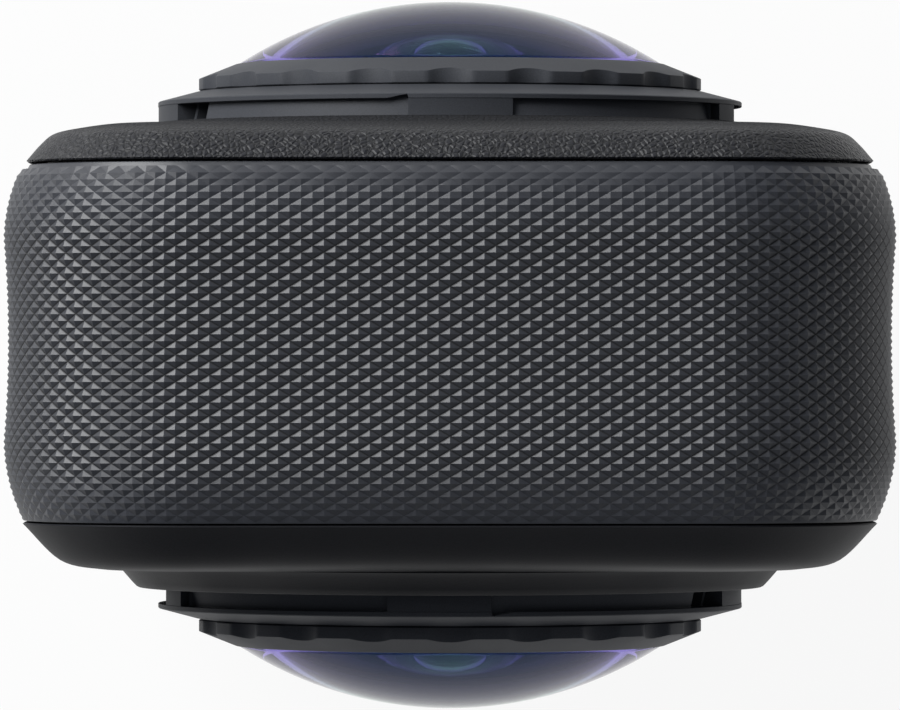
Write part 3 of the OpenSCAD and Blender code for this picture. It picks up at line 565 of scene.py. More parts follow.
GRILLE_R = 0.5
GRILLE_PITCH = 1.8
GRILLE_Z = 8.0
GRILLE_SIDE = 3
HOLE_CHAMFER = 0.12
FACE_CLEAR = 0.001
MIC_R = 0.4
FRONT_MIC = (12.0, 13.0)
REAR_MIC = (15.0, 13.5)
LIGHT_R = 0.85
FRONT_LIGHT_Z = 80.69
REAR_LIGHT_Z = 20.6
SCREEN_LOW, SCREEN_HIGH = span("touchscreen_glass")
SCREEN_CORNER = 2.0
SCREEN_LEDGE = 1.0
SCREEN_SILL = 0.15
SCREEN_EDGE = [(0, 0.14), (0.04, 0.05), (0.14, 0)]
BUTTON_R = 4.5
BUTTON_X = 8.0
BUTTON_Z = 13.5


def chamfered_hole(r, x, z, flat, side):
    """Round cutter along Y with a small chamfer at the outer face."""
    wide = r + HOLE_CHAMFER
    levels = [(r, flat - FAR), (r, flat - HOLE_CHAMFER), (wide, flat + FACE_CLEAR), (wide, flat + OVER)]
    rings = [[(x + u, side * y, z + v) for u, v in circle(radius, HOLE_STEPS)] for radius, y in levels]
    return lofted("hole", rings)


def make_front_cover():
    obj = cover("front_cover_leather", FRONT_EDGE, FRONT_INSET, FRONT_SLOPE, BAND_FRONT, FRONT_FLAT, 1,
                EDGE_LIFT)
    holes = [lens_bore(FRONT_FLAT, 1)]
    for i in range(-GRILLE_SIDE, GRILLE_SIDE + 1):
        holes.append(chamfered_hole(GRILLE_R, i * GRILLE_PITCH, GRILLE_Z, FRONT_FLAT, 1))
    for s in (-1, 1):
        holes.append(chamfered_hole(MIC_R, s * FRONT_MIC[0], FRONT_MIC[1], FRONT_FLAT, 1))
    holes.append(chamfered_hole(LIGHT_R, 0, FRONT_LIGHT_Z, FRONT_FLAT, 1))
    combine(obj, holes, "DIFFERENCE")
    foot = lens_foot("front_foot", FRONT_FOOT_R, FRONT_CROWN_R, FRONT_FLAT, FRONT_FLAT - FOOT_BURIED, 1)
    combine(obj, [foot], "UNION")
    return shade(obj, COVER_SHARP)


def screen_shape(grow):
    w = SCREEN_HIGH.x - SCREEN_LOW.x
    h = SCREEN_HIGH.z - SCREEN_LOW.z
    return rounded_rect(w + 2 * grow, h + 2 * grow, SCREEN_CORNER + grow)


def on_screen(u, v, h):
    return u, h, (SCREEN_LOW.z + SCREEN_HIGH.z) / 2 + v


def screen_solid(name, levels):
    """A solid of screen outlines; each level is an inset and a depth."""
    return stacked(name, lambda inset: screen_shape(-inset), levels, on_screen)


def make_rear_cover():
    obj = cover("rear_cover_satin", REAR_EDGE, REAR_DRAW, REAR_SLOPE, BAND_REAR, REAR_FLAT, -1)
    holes = [
        lens_bore(REAR_FLAT, -1),
        screen_solid("screen_well", [(-FIT, -REAR_FLAT - OVER), (-FIT, SCREEN_HIGH.y + SCREEN_SILL)]),
        screen_solid("screen_hole", [(SCREEN_LEDGE, -REAR_FLAT), (SCREEN_LEDGE, FAR - REAR_FLAT)]),
        chamfered_hole(LIGHT_R, 0, REAR_LIGHT_Z, REAR_FLAT, -1),
    ]
    for s in (-1, 1):
        holes.append(chamfered_hole(BUTTON_R + RUN_GAP, s * BUTTON_X, BUTTON_Z, REAR_FLAT, -1))
        holes.append(chamfered_hole(MIC_R, s * REAR_MIC[0], REAR_MIC[1], REAR_FLAT, -1))
    combine(obj, holes, "DIFFERENCE")
    return shade(obj, COVER_SHARP)


def make_rear_lens_base():
    low = REAR_FLAT + FIT
    obj = lens_foot("rear_lens_base_satin", REAR_FOOT_R, REAR_CROWN_R, low + FIT, low, -1)
    return shade(obj, COVER_SHARP)


# Bayonet rings: blocks, recesses, ribs and ramps under one thin flange
BAYONET_BORE = 12.11
BAYONET_R = 15.51
BAYONET_WALL = 15.15
BAYONET_RECESS = 13.81
WALL_DRAFT = 0.2
BAYONET_CORE = 13.47
BAYONET_TOP = 13.96
BAYONET_LIP = 13.43
BAYONET_UNDER = 13.16
BAYONET_STEP = 0.02
BAYONET_STEPS = 240
RAMP_STOP = 0.06
RIB_R = 14.6
WALL_TURN = 0.12
RING_BEVEL = 0.05


def both_halves(spans):
    """Spans in degrees from +Z, and the same ones half a turn on."""
    return spans + [(low + 180, high + 180) for low, high in spans]


RAMPS = both_halves([(-12, -8)])
DEEP_RECESSES = both_halves([(-67, -56), (61.5, 65.5)]) + [(75, 103)]
SHALLOW_RECESSES = both_halves([(-56, -8), (12, 61.5)])
RIBS = both_halves([(-65.2, -63.8), (-59.4, -58)])


def in_spans(angle, spans):
    return any(low < angle < high for low, high in spans)


def bayonet_section(angle):
    """Wall radius and flange underside at an angle in degrees from +Z, from -90 to 270."""
    wall = BAYONET_R - BAYONET_STEP
    if in_spans(angle, SHALLOW_RECESSES):
        wall = BAYONET_WALL
    if in_spans(angle, DEEP_RECESSES):
        wall = RIB_R if in_spans(angle, RIBS) else BAYONET_RECESS
    under = BAYONET_UNDER
    for low, high in RAMPS:
        if low < angle < high:
            under += (BAYONET_LIP - RAMP_STOP - BAYONET_UNDER) * (angle - low) / (high - low)
    return wall, under


def make_bayonet_ring(name, face):
    angles = {360 / BAYONET_STEPS * i - 90 for i in range(BAYONET_STEPS)}
    for span_edges in DEEP_RECESSES + SHALLOW_RECESSES + RIBS + RAMPS:
        for edge in span_edges:
            angles.update((edge - WALL_TURN, edge + WALL_TURN))
    bevel = RING_BEVEL
    rings = []
    for angle in sorted(angles):
        wall, under = bayonet_section(angle)
        foot = min(wall + WALL_DRAFT, BAYONET_R - BAYONET_STEP)
        profile = [
            (BAYONET_BORE, SEAT_Y), (foot, SEAT_Y), (wall, under - bevel),
            (wall + bevel / 4, under), (BAYONET_R - bevel / 2, under), (BAYONET_R, under + bevel / 2),
            (BAYONET_R, BAYONET_LIP - bevel), (BAYONET_R - bevel, BAYONET_LIP),
            (BAYONET_CORE + bevel, BAYONET_TOP - bevel / 3), (BAYONET_CORE - bevel, BAYONET_TOP),
            (BAYONET_BORE, BAYONET_TOP),
        ]
        rings.append(spoke(profile, math.radians(angle), face))
    return shade(lofted(name, rings, closed=True), RING_SHARP)


# Scalloped lens rings
RING_LOW = 14.01
RING_SHOULDER = 14.66
RING_TOP = 15.41
RING_R = 13.37
RING_TOP_R = 11.45
NECK_R = 12.05
NECK_LOW = 12.6
SCALLOPS = 20
SCALLOP_R = 1.9
SCALLOP_DEPTH = 0.42
SCALLOP_STEPS = 24
TOP_EASE = (0.1, 0.04)


def scallop_reach(turn):
    """Radius of the scalloped wall at an angle from the middle of a scallop."""
    middle = RING_R + SCALLOP_R - SCALLOP_DEPTH
    off = middle * math.sin(turn)
    if abs(off) >= SCALLOP_R:
        return RING_R
    return min(RING_R, middle * math.cos(turn) - math.sqrt(SCALLOP_R ** 2 - off ** 2))


def make_lens_ring(name, face):
    pitch = 2 * math.pi / SCALLOPS
    bevel = RING_BEVEL
    rings = []
    for k in range(SCALLOPS * SCALLOP_STEPS):
        a = k * pitch / SCALLOP_STEPS
        turn = (a + pitch / 2) % pitch - pitch / 2
        reach = scallop_reach(turn)
        shoulder = RING_SHOULDER + (RING_R - reach) * (RING_TOP - RING_SHOULDER) / (RING_R - RING_TOP_R)
        profile = [
            (GLASS_R + FIT, NECK_LOW), (NECK_R, NECK_LOW), (NECK_R, RING_LOW), (reach - bevel, RING_LOW),
            (reach, RING_LOW + bevel), (reach, shoulder - bevel), (reach - bevel / 3, shoulder - bevel / 4),
            (reach - 1.6 * bevel, shoulder + bevel / 3),
            (RING_TOP_R + TOP_EASE[0], RING_TOP - TOP_EASE[1]), (RING_TOP_R, RING_TOP),
            (GLASS_R + FIT, RING_TOP),
        ]
        rings.append(spoke(profile, a, face))
    return shade(lofted(name, rings, closed=True), RING_SHARP)


# Glass
DOME_R = 20.7
DOME_T = 0.5
HOLLOW_R = 9.85
DOME_RIM = 0.06
SKIRT_Y = 13.2
SECOND_R = 7.2
SECOND_APEX = 14.3
SECOND_BALL = 7.4
SECOND_SEAT = 11.05
CLEAR_R = 5.2
SECOND_HOLLOW_APEX = 12.8
SECOND_HOLLOW_BALL = 2.93
SECOND_HOLLOW_R = 2.66
SECOND_BEVEL = 0.1
BAFFLE = [(5.3, 12.3), (5.65, 12.85), (7.1, 12.95)]
PAINT_SLACK = 0.02


def cap_arc(radius, apex, reach, steps):
    """Points from the axis out to reach on a sphere with its apex on the axis."""
    end = math.asin(reach / radius)
    return [(radius * math.sin(end * i / steps), apex - radius * (1 - math.cos(end * i / steps)))
            for i in range(steps + 1)]


def paint(obj, look, face, covered):
    """Gives a second look to the faces where covered(radius, depth) holds."""
    obj.data.materials.append(look)
    for polygon in obj.data.polygons:
        middle = polygon.center / MM
        reach = math.hypot(middle.x, middle.z - LENS_Z)
        polygon.material_index = 1 if covered(reach, face * middle.y) else 0


def make_dome(name, face):
    rim = DOME_RIM
    outer = cap_arc(DOME_R, DOME_APEX, GLASS_R - rim, steps=48)
    hollow = DOME_APEX - DOME_T - SKIRT_Y
    inner_r = (hollow ** 2 + HOLLOW_R ** 2) / (2 * hollow)
    inner = cap_arc(inner_r, DOME_APEX - DOME_T, HOLLOW_R, steps=40)
    edge_y = outer[-1][1]
    skirt = [(GLASS_R, edge_y - 1.5 * rim), (GLASS_R, SKIRT_Y + rim), (GLASS_R - rim, SKIRT_Y)]
    profile = [(TIP, outer[0][1])] + outer[1:] + skirt + inner[:0:-1] + [(TIP, inner[0][1])]
    return shade(turned(name, profile, LENS_STEPS, face, closed=False), GLASS_SHARP)


def dome_edge(reach, depth):
    """True on the dome's side and the flat ring behind it, which lens makers blacken."""
    top = DOME_APEX - DOME_R + math.sqrt(DOME_R ** 2 - min(reach, GLASS_R) ** 2)
    return depth < top - DOME_T / 2 and reach > HOLLOW_R


def make_second_element(name, face):
    """Inner lens: hollow behind like the dome, in a blackened ring."""
    crown = cap_arc(SECOND_BALL, SECOND_APEX, CLEAR_R, steps=28)
    hollow = cap_arc(SECOND_HOLLOW_BALL, SECOND_HOLLOW_APEX, SECOND_HOLLOW_R, steps=24)
    side = [(SECOND_R, BAFFLE[-1][1] - SECOND_BEVEL), (SECOND_R, SECOND_SEAT)]
    back = hollow[:0:-1] + [(TIP, SECOND_HOLLOW_APEX)]
    profile = [(TIP, SECOND_APEX)] + crown[1:] + BAFFLE + side + back
    return shade(turned(name, profile, steps=120, face=face, closed=False), RING_SHARP)


def second_ring(reach, depth):
    """True on all of the inner lens but its clear crown and the hollow behind it."""
    return reach > CLEAR_R or depth < SECOND_SEAT + PAINT_SLACK


# Screen, buttons and latches: the edges are lists of inset and drop below the face
REAR_INNER = REAR_FLAT - COVER_T
BUTTON_STEM_R = 1.0
BUTTON_STEM_L = 0.3
BUTTON_FLANGE = 0.7
BUTTON_FLANGE_GROW = 0.7
BUTTON_EDGE = [(0, 0.28), (0.05, 0.12), (0.16, 0.03), (0.32, 0)]
DISH_INSET = 0.45
DISH_DROP = 0.02
DISH_DEPTH = 0.16
DISH_STEPS = 60
MARK_RING = (2.25, 2.65)
MARK_DEPTH = 0.1
DOT_R = 0.8
DOT_RISE = 0.12
SIDE_FLANGE = 0.7
SIDE_FLANGE_GROW = 0.72
SIDE_EDGE = [
    (0, 0.42), (0.04, 0.22), (0.13, 0.08), (0.28, 0.01),
    (0.45, 0), (0.62, 0.03), (0.95, 0.1), (1.35, 0.14),
]
POWER_RING = (0.55, 0.8)
POWER_RING_DEPTH = 0.3
LATCH_EDGE = [(0, 0.24), (0.05, 0.09), (0.16, 0.02), (0.3, 0)]
LATCH_CORNER = 0.6
GROOVE_PITCH = 1.2
GROOVE_W = 0.62
GROOVE_DEPTH = 0.3
GROOVE_OVER = 0.1


def make_touchscreen():
    levels = [(0, SCREEN_HIGH.y)] + [(inset, SCREEN_LOW.y + drop) for inset, drop in SCREEN_EDGE]
    return shade(screen_solid("touchscreen_plate", levels), SCREEN_SHARP)


def make_rear_button(name, x, mark):
    """Round dished button on its flange; mark gives the face's extra height at a radius."""
    back = REAR_INNER - FIT - BUTTON_FLANGE
    flange_r = BUTTON_R + BUTTON_FLANGE_GROW
    profile = [
        (TIP, back - BUTTON_STEM_L), (BUTTON_STEM_R, back - BUTTON_STEM_L), (BUTTON_STEM_R, back),
        (flange_r, back), (flange_r, REAR_INNER - FIT), (BUTTON_R, REAR_INNER - FIT),
    ]
    profile += [(BUTTON_R - inset, REAR_FLAT - drop) for inset, drop in BUTTON_EDGE]
    dish_r = BUTTON_R - DISH_INSET
    for i in range(DISH_STEPS + 1):
        r = max(TIP, dish_r * (1 - i / DISH_STEPS))
        dish = DISH_DEPTH * (1 - (r / dish_r) ** 2)
        profile.append((r, REAR_FLAT - DISH_DROP - dish + mark(r)))
    return shade(turned(name, profile, steps=72, face=-1, closed=False, middle=(x, BUTTON_Z)))


def ring_mark(r):
    """A shallow engraved ring."""
    return -MARK_DEPTH if MARK_RING[0] < r < MARK_RING[1] else 0.0


def dot_mark(r):
    """A small raised dot."""
    return DOT_RISE * math.sqrt(1 - (r / DOT_R) ** 2) if r < DOT_R else 0.0


def make_side_button(name, node, ringed):
    seat = INNER_X - FIT
    levels = [(-SIDE_FLANGE_GROW, seat - SIDE_FLANGE), (-SIDE_FLANGE_GROW, seat), (0, seat)]
    levels += [(inset, HALF_W - drop) for inset, drop in SIDE_EDGE]
    place = on_side(node)

    def shape(inset):
        cut = 2 * (inset + RUN_GAP)
        return pill(SIDE_BUTTON_W - cut, SIDE_BUTTON_L - cut)

    obj = stacked(name, shape, levels, place)
    if ringed:
        inner, outer = POWER_RING
        groove = [(inner, -POWER_RING_DEPTH), (outer, -POWER_RING_DEPTH), (outer, OVER), (inner, OVER)]
        rings = [[place(u, v, HALF_W + h) for u, v in circle(r, HOLE_STEPS)] for r, h in groove]
        combine(obj, [lofted("groove", rings, closed=True)], "DIFFERENCE")
    return shade(obj)


def make_latch(name, node):
    low, high = span(node)
    middle = (low + high) / 2
    face = low.x
    width = high.y - low.y
    length = high.z - low.z
    levels = [(0, high.x)] + [(inset, face + drop) for inset, drop in LATCH_EDGE]
    obj = stacked(name, lambda inset: rounded_rect(width - 2 * inset, length - 2 * inset, LATCH_CORNER),
                  levels, on_side(node))
    grooves = []
    for i in (-1, 0, 1):
        z = middle.z + GROOVE_PITCH * i
        mouth = face - GROOVE_OVER
        section = [(mouth, z - GROOVE_W / 2), (face + GROOVE_DEPTH, z), (mouth, z + GROOVE_W / 2)]
        ends = (low.y - OVER, high.y + OVER)
        grooves.append(lofted("groove", [[(x, y, gz) for x, gz in section] for y in ends]))
    combine(obj, grooves, "DIFFERENCE")
    return shade(obj)


# Base
SCREW_R = 0.7
SCREW_HEAD_R = 1.3
SCREW_HEAD_H = 0.7
SCREW_X = 11.5
SCREW_L = WALL + 0.8
SCREW_CHAMFER = 0.2
HEAD_EDGE = [(0.18, 0), (0.05, 0.05), (0, 0.18)]
HEX_R = 0.62
HEX_TOP = 0.45
BASE_EDGE = [(0, 0.4), (0.08, 0.16), (0.3, 0.0)]
THREAD_R = 2.55
THREAD_L = 8.0
THREAD_PITCH = 1.27
THREAD_DEPTH = 0.6
THREAD_STEEP = 1.3
THREAD_LAND = 0.15
THREAD_RUNOUT = 0.6
THREAD_ROWS = 84
THREAD_STEPS = 72
MOUTH_R = THREAD_R + THREAD_DEPTH + 0.15
SOCKET_TOP = SOCKET_HIGH.z
SOCKET_FLANGE_R = SOCKET_HIGH.x
SOCKET_FLANGE_T = 1.0
SOCKET_BEVEL = 0.2
SOCKET_CHAMFER = 0.3


def upright(name, profile, x, y, steps=48):
    """A profile of radius and height turned round an upright axis, from axis to axis."""
    rings = [[(x + u, y + v, z) for u, v in circle(r, steps)] for r, z in profile]
    return lofted(name, rings)


def base_bore(r, chamfer, upper, x, y):
    """Upright cutter with a chamfer at the base's lower face; upper ends its profile."""
    profile = [(r + chamfer, -OVER), (r + chamfer, 0), (r, chamfer)]
    return upright("base_bore", profile + upper, x, y)


def make_base_plate():
    def shape(inset):
        return rounded_rect(BASE_W - 2 * inset, BASE_D - 2 * inset, BASE_CORNER - inset / 2)

    levels = [(0, BASE_HIGH.z)] + BASE_EDGE
    obj = stacked("base_plate_chamfered", shape, levels, lambda u, v, h: (u, BASE_Y + v, h))
    above = BASE_HIGH.z + OVER
    cuts = [base_bore(SOCKET_R + FIT, SOCKET_CHAMFER, [(SOCKET_R + FIT, above)], 0, 0)]
    head_r = SCREW_HEAD_R + FIT
    head_top = SCREW_HEAD_H + FIT
    upper = [(head_r, head_top), (SCREW_R + FIT, head_top), (SCREW_R + FIT, above)]
    for s in (-1, 1):
        cuts.append(base_bore(head_r, SCREW_CHAMFER, upper, s * SCREW_X, BASE_Y))
    combine(obj, cuts, "DIFFERENCE")
    return shade(obj)


def base_screw(x):
    profile = [(TIP, FIT)] + [(SCREW_HEAD_R - inset, FIT + rise) for inset, rise in HEAD_EDGE]
    profile += [(SCREW_HEAD_R, SCREW_HEAD_H), (SCREW_R, SCREW_HEAD_H), (SCREW_R, SCREW_L), (TIP, SCREW_L)]
    obj = upright("base_screw", profile, x, BASE_Y)
    socket = upright("hex_socket", [(HEX_R, -OVER), (HEX_R, HEX_TOP)], x, BASE_Y, steps=6)
    return combine(obj, [socket], "DIFFERENCE")


def make_base_screws():
    obj = base_screw(-SCREW_X)
    obj.name = "base_screws_pair"
    return shade(combine(obj, [base_screw(SCREW_X)], "UNION"))


def thread_r(turn, z):
    """Radius of the internal thread at an angle in turns and a height."""
    share = (z / THREAD_PITCH - turn) % 1
    rise = min(1, max(0, THREAD_STEEP * (1 - abs(2 * share - 1)) - THREAD_LAND))
    fade = min(1, (THREAD_L - z) / THREAD_RUNOUT)
    return max(THREAD_R + THREAD_DEPTH * rise * fade, MOUTH_R - z)


def make_tripod_socket():
    steps = THREAD_STEPS
    bevel = SOCKET_BEVEL
    seat = WALL + FIT
    flange_top = seat + SOCKET_FLANGE_T
    shell = [
        (TIP, SOCKET_TOP), (SOCKET_R - bevel, SOCKET_TOP), (SOCKET_R, SOCKET_TOP - bevel),
        (SOCKET_R, flange_top), (SOCKET_FLANGE_R, flange_top), (SOCKET_FLANGE_R, seat), (SOCKET_R, seat),
        (SOCKET_R, bevel), (SOCKET_R - bevel, 0), (MOUTH_R + bevel, 0),
    ]
    rings = [[(u, v, z) for u, v in circle(r, steps)] for r, z in shell]
    for k in range(THREAD_ROWS + 1):
        z = THREAD_L * k / THREAD_ROWS
        ring = []
        for i in range(steps):
            a = 2 * math.pi * i / steps
            r = thread_r(i / steps, z)
            ring.append((r * math.cos(a), r * math.sin(a), z))
        rings.append(ring)
    rings.append([(u, v, THREAD_L) for u, v in circle(TIP, steps)])
    return shade(lofted("tripod_socket_threaded", rings))


# Materials: one look for each slot of the record, with grains and depths in millimetres
NOISE_LOW = 0.3
NOISE_HIGH = 0.7
GLOSS_PATCH = 7.0
GRIP_GRAIN = 0.06
GRIP_GRAIN_DEPTH = 0.004
# GROOVE_END: height in the texture where the painted groove shade and the rougher grooves end
GROOVE_END = 0.24
LEATHER_CELL = 0.3
LEATHER_BEND = 0.14
LEATHER_BEND_SIZE = 0.5
LEATHER_DEPTH = 0.055
LEATHER_FLAT = (11.3, 11.8)
LEATHER_FLAT_ROUGH = 0.85

# Tints of the front element from its axis to its rim, whose green and violet are painted reflection of its
# coating, and of the paint behind its edge
GLASS_TINT_AND_PAINTED_REFLECTION = [
    (0.0, (0.2, 0.58, 0.22, 1.0)), (0.3, (0.22, 0.48, 0.28, 1.0)),
    (0.7, (0.24, 0.28, 0.38, 1.0)), (1.0, (0.24, 0.17, 0.6, 1.0)),
]
# Rim paint: real dark edge paint, turning violet towards the rim as painted reflection of the coating
RIM_PAINT_AND_PAINTED_REFLECTION = [
    (0.0, (0.006, 0.009, 0.018, 1.0)), (0.4, (0.014, 0.014, 0.05, 1.0)), (0.9, (0.07, 0.05, 0.26, 1.0)),
]


def srgb(code):
    """Linear colour of a hex code."""
    shares = [int(code[i:i + 2], 16) / 255 for i in (1, 3, 5)]
    return tuple(s / 12.92 if s <= 0.04045 else ((s + 0.055) / 1.055) ** 2.4 for s in shares) + (1.0,)


def add_node(tree, kind, **inputs):
    """A shader node with its sockets set or linked by name."""
    made = tree.nodes.new("ShaderNode" + kind)
    for name, value in inputs.items():
        socket = made.inputs[name.replace("_", " ")]
        if isinstance(value, bpy.types.NodeSocket):
            tree.links.new(value, socket)
        else:
            socket.default_value = value
    return made


def new_look(slot):
    look = bpy.data.materials.new(slot + "_look")
    look.use_nodes = True
    tree = look.node_tree
    return look, tree, tree.nodes["Principled BSDF"]


def set_shader(shader, **values):
    """Constants on the shader's own sockets."""
    for name, value in values.items():
        shader.inputs[name.replace("_", " ")].default_value = value


def object_place(tree):
    return add_node(tree, "TexCoord").outputs["Object"]


def noise(tree, place, size, detail=3.0):
    """A noise field whose features are about size millimetres across."""
    return add_node(tree, "TexNoise", Vector=place, Scale=1 / (size * MM), Detail=detail).outputs[0]


def ramp(tree, field, stops):
    """Colours along a field of 0 to 1."""
    made = add_node(tree, "ValToRGB", Fac=field)
    points = made.color_ramp.elements
    while len(points) < len(stops):
        points.new(0.5)
    for point, (position, colour) in zip(points, stops):
        point.position = position
        point.color = colour
    return made.outputs["Color"]


def ranged(tree, field, low, high, start=0.0, end=1.0):
    """A field's range from start to end, made to run from low to high."""
    made = add_node(tree, "MapRange", Value=field, From_Min=start, From_Max=end, To_Min=low, To_Max=high)
    return made.outputs[0]


def combined(tree, operation, first, second, kind="VectorMath"):
    """Two values put together by a math node, the second one a socket or a constant."""
    made = add_node(tree, kind)
    made.operation = operation
    tree.links.new(first, made.inputs[0])
    if isinstance(second, bpy.types.NodeSocket):
        tree.links.new(second, made.inputs[1])
    else:
        made.inputs[1].default_value = second
    return made.outputs[0]


def lift(tree, shader, height, depth):
    """Bump of a depth in millimetres."""
    bump = add_node(tree, "Bump", Height=height, Strength=1.0, Distance=depth * MM)
    tree.links.new(bump.outputs[0], shader.inputs["Normal"])


def mottled(tree, field, dark, light):
    """Colour that goes from dark to light with a noise field."""
    return ramp(tree, field, [(NOISE_LOW, srgb(dark)), (NOISE_HIGH, srgb(light))])


def patchy(tree, shader, place, size, rough, field=(NOISE_LOW, NOISE_HIGH)):
    """Roughness that varies between two values in patches of a size, over a range of the noise."""
    value = ranged(tree, noise(tree, place, size), rough[0], rough[1], field[0], field[1])
    tree.links.new(value, shader.inputs["Roughness"])


def grainy(slot, dark, light, rough, grain, depth, constants):
    """A moulded or machined finish: a fine grain in colour and surface, and a broad one in gloss."""
    look, tree, shader = new_look(slot)
    place = object_place(tree)
    fine = noise(tree, place, grain)
    tree.links.new(mottled(tree, fine, dark, light), shader.inputs["Base Color"])
    patchy(tree, shader, place, GLOSS_PATCH, rough)
    lift(tree, shader, fine, depth)
    set_shader(shader, **constants)
    return look


def grip_look():
    """Matt moulded plastic, with painted shade darkening the grooves between the pyramids."""
    look, tree, shader = new_look("textured_grip")
    place = object_place(tree)
    peak = add_node(tree, "Attribute")
    peak.attribute_name = "peak"
    height = peak.outputs["Fac"]
    fine = noise(tree, place, GRIP_GRAIN)
    plastic = mottled(tree, fine, "#2b2d32", "#33353b")
    # Painted shade: the colour falls to #707070 times the plastic at the bottom of the grooves, where the
    # pyramids shade each other
    groove = ramp(tree, height, [(0.03, srgb("#707070")), (GROOVE_END, srgb("#ffffff"))])
    tree.links.new(combined(tree, "MULTIPLY", plastic, groove), shader.inputs["Base Color"])
    rough = ranged(tree, height, 0.75, 0.42, start=0.02, end=GROOVE_END)
    tree.links.new(rough, shader.inputs["Roughness"])
    lift(tree, shader, fine, GRIP_GRAIN_DEPTH)
    return look


def leather_look():
    """Moulded leather grain of small pebbles between creases painted darker as shade, duller on the flat
    face.
    """
    look, tree, shader = new_look("leather_grain")
    place = object_place(tree)
    bend = add_node(tree, "TexNoise", Vector=place, Scale=1 / (LEATHER_BEND_SIZE * MM), Detail=2.0)
    reach = LEATHER_BEND * MM
    shift = combined(tree, "MULTIPLY", bend.outputs["Color"], (reach, reach, reach))
    moved = combined(tree, "ADD", place, shift)
    cells = add_node(tree, "TexVoronoi", Vector=moved, Scale=1 / (LEATHER_CELL * MM))
    cells.feature = "DISTANCE_TO_EDGE"
    pebble = ranged(tree, cells.outputs["Distance"], 0.0, 1.0, start=0.0, end=0.3)
    # Painted shade: the creases between the pebbles, low in the bump, are coloured darker
    colour = ramp(tree, pebble, [(0.0, srgb("#17181a")), (0.6, srgb("#222327"))])
    depth = add_node(tree, "SeparateXYZ", Vector=place).outputs["Y"]
    flat_share = ranged(tree, depth, 0.0, 1.0, LEATHER_FLAT[0] * MM, LEATHER_FLAT[1] * MM)
    dull = ramp(tree, flat_share, [(0.0, (1.0, 1.0, 1.0, 1.0)), (1.0, (0.7, 0.71, 0.73, 1.0))])
    tree.links.new(combined(tree, "MULTIPLY", colour, dull), shader.inputs["Base Color"])
    worn = ranged(tree, noise(tree, place, 5.0), 0.4, 0.5, NOISE_LOW, NOISE_HIGH)
    rough = add_node(tree, "MapRange", Value=flat_share, To_Min=worn, To_Max=LEATHER_FLAT_ROUGH)
    tree.links.new(rough.outputs[0], shader.inputs["Roughness"])
    lift(tree, shader, pebble, LEATHER_DEPTH)
    set_shader(shader, Specular_IOR_Level=0.25)
    return look


def lens_reach(tree, place):
    """Distance from the axis of the lenses."""
    parts = add_node(tree, "SeparateXYZ", Vector=place)
    rise = combined(tree, "SUBTRACT", parts.outputs["Z"], LENS_Z * MM, "Math")
    flat = add_node(tree, "CombineXYZ", X=parts.outputs["X"], Y=rise)
    reach = add_node(tree, "VectorMath")
    reach.operation = "LENGTH"
    tree.links.new(flat.outputs[0], reach.inputs[0])
    return reach.outputs["Value"]


def coated_glass_look():
    """Glass with a thin coating, a tint that changes towards the rim as painted reflection of the coating's
    colours, and faint handling marks.
    """
    look, tree, shader = new_look("coated_glass")
    place = object_place(tree)
    patchy(tree, shader, place, size=3.0, rough=(0.0, 0.02), field=(0.45, 0.8))
    share = ranged(tree, lens_reach(tree, place), 0.0, 1.0, start=0.0, end=GLASS_R * MM)
    # Painted reflection: the coating's green at the axis and violet at the rim are painted into the glass
    # tint by distance from the axis
    tree.links.new(ramp(tree, share, GLASS_TINT_AND_PAINTED_REFLECTION), shader.inputs["Base Color"])
    set_shader(shader, Transmission_Weight=1.0, IOR=1.52, Thin_Film_Thickness=165.0, Thin_Film_IOR=1.3)
    return look


def rim_paint_look():
    """Dark paint behind the edge of the front element, violet towards the rim as painted reflection of the
    lens coating.
    """
    look, tree, shader = new_look("rim_paint")
    place = object_place(tree)
    share = ranged(tree, lens_reach(tree, place), 0.0, 1.0, start=HOLLOW_R * MM, end=GLASS_R * MM)
    # Painted reflection: the violet towards the rim stands in for the coating's reflected colour over the
    # dark edge paint
    tree.links.new(ramp(tree, share, RIM_PAINT_AND_PAINTED_REFLECTION), shader.inputs["Base Color"])
    patchy(tree, shader, place, size=1.0, rough=(0.3, 0.5))
    return look


def inner_glass_look():
    """Inner lens: nearly clear glass that bends light strongly."""
    look, tree, shader = new_look("inner_glass")
    patchy(tree, shader, object_place(tree), size=2.0, rough=(0.01, 0.04), field=(0.3, 0.8))
    set_shader(shader, Base_Color=(0.95, 0.97, 1.0, 1.0), Transmission_Weight=1.0, IOR=1.9)
    return look


def screen_look():
    """Black cover glass with faint smudges."""
    look, tree, shader = new_look("screen_glass")
    place = object_place(tree)
    colour = mottled(tree, noise(tree, place, 6.0), "#070809", "#0b0c0e")
    tree.links.new(colour, shader.inputs["Base Color"])
    patchy(tree, shader, place, size=4.0, rough=(0.04, 0.12), field=(0.4, 0.8))
    return look


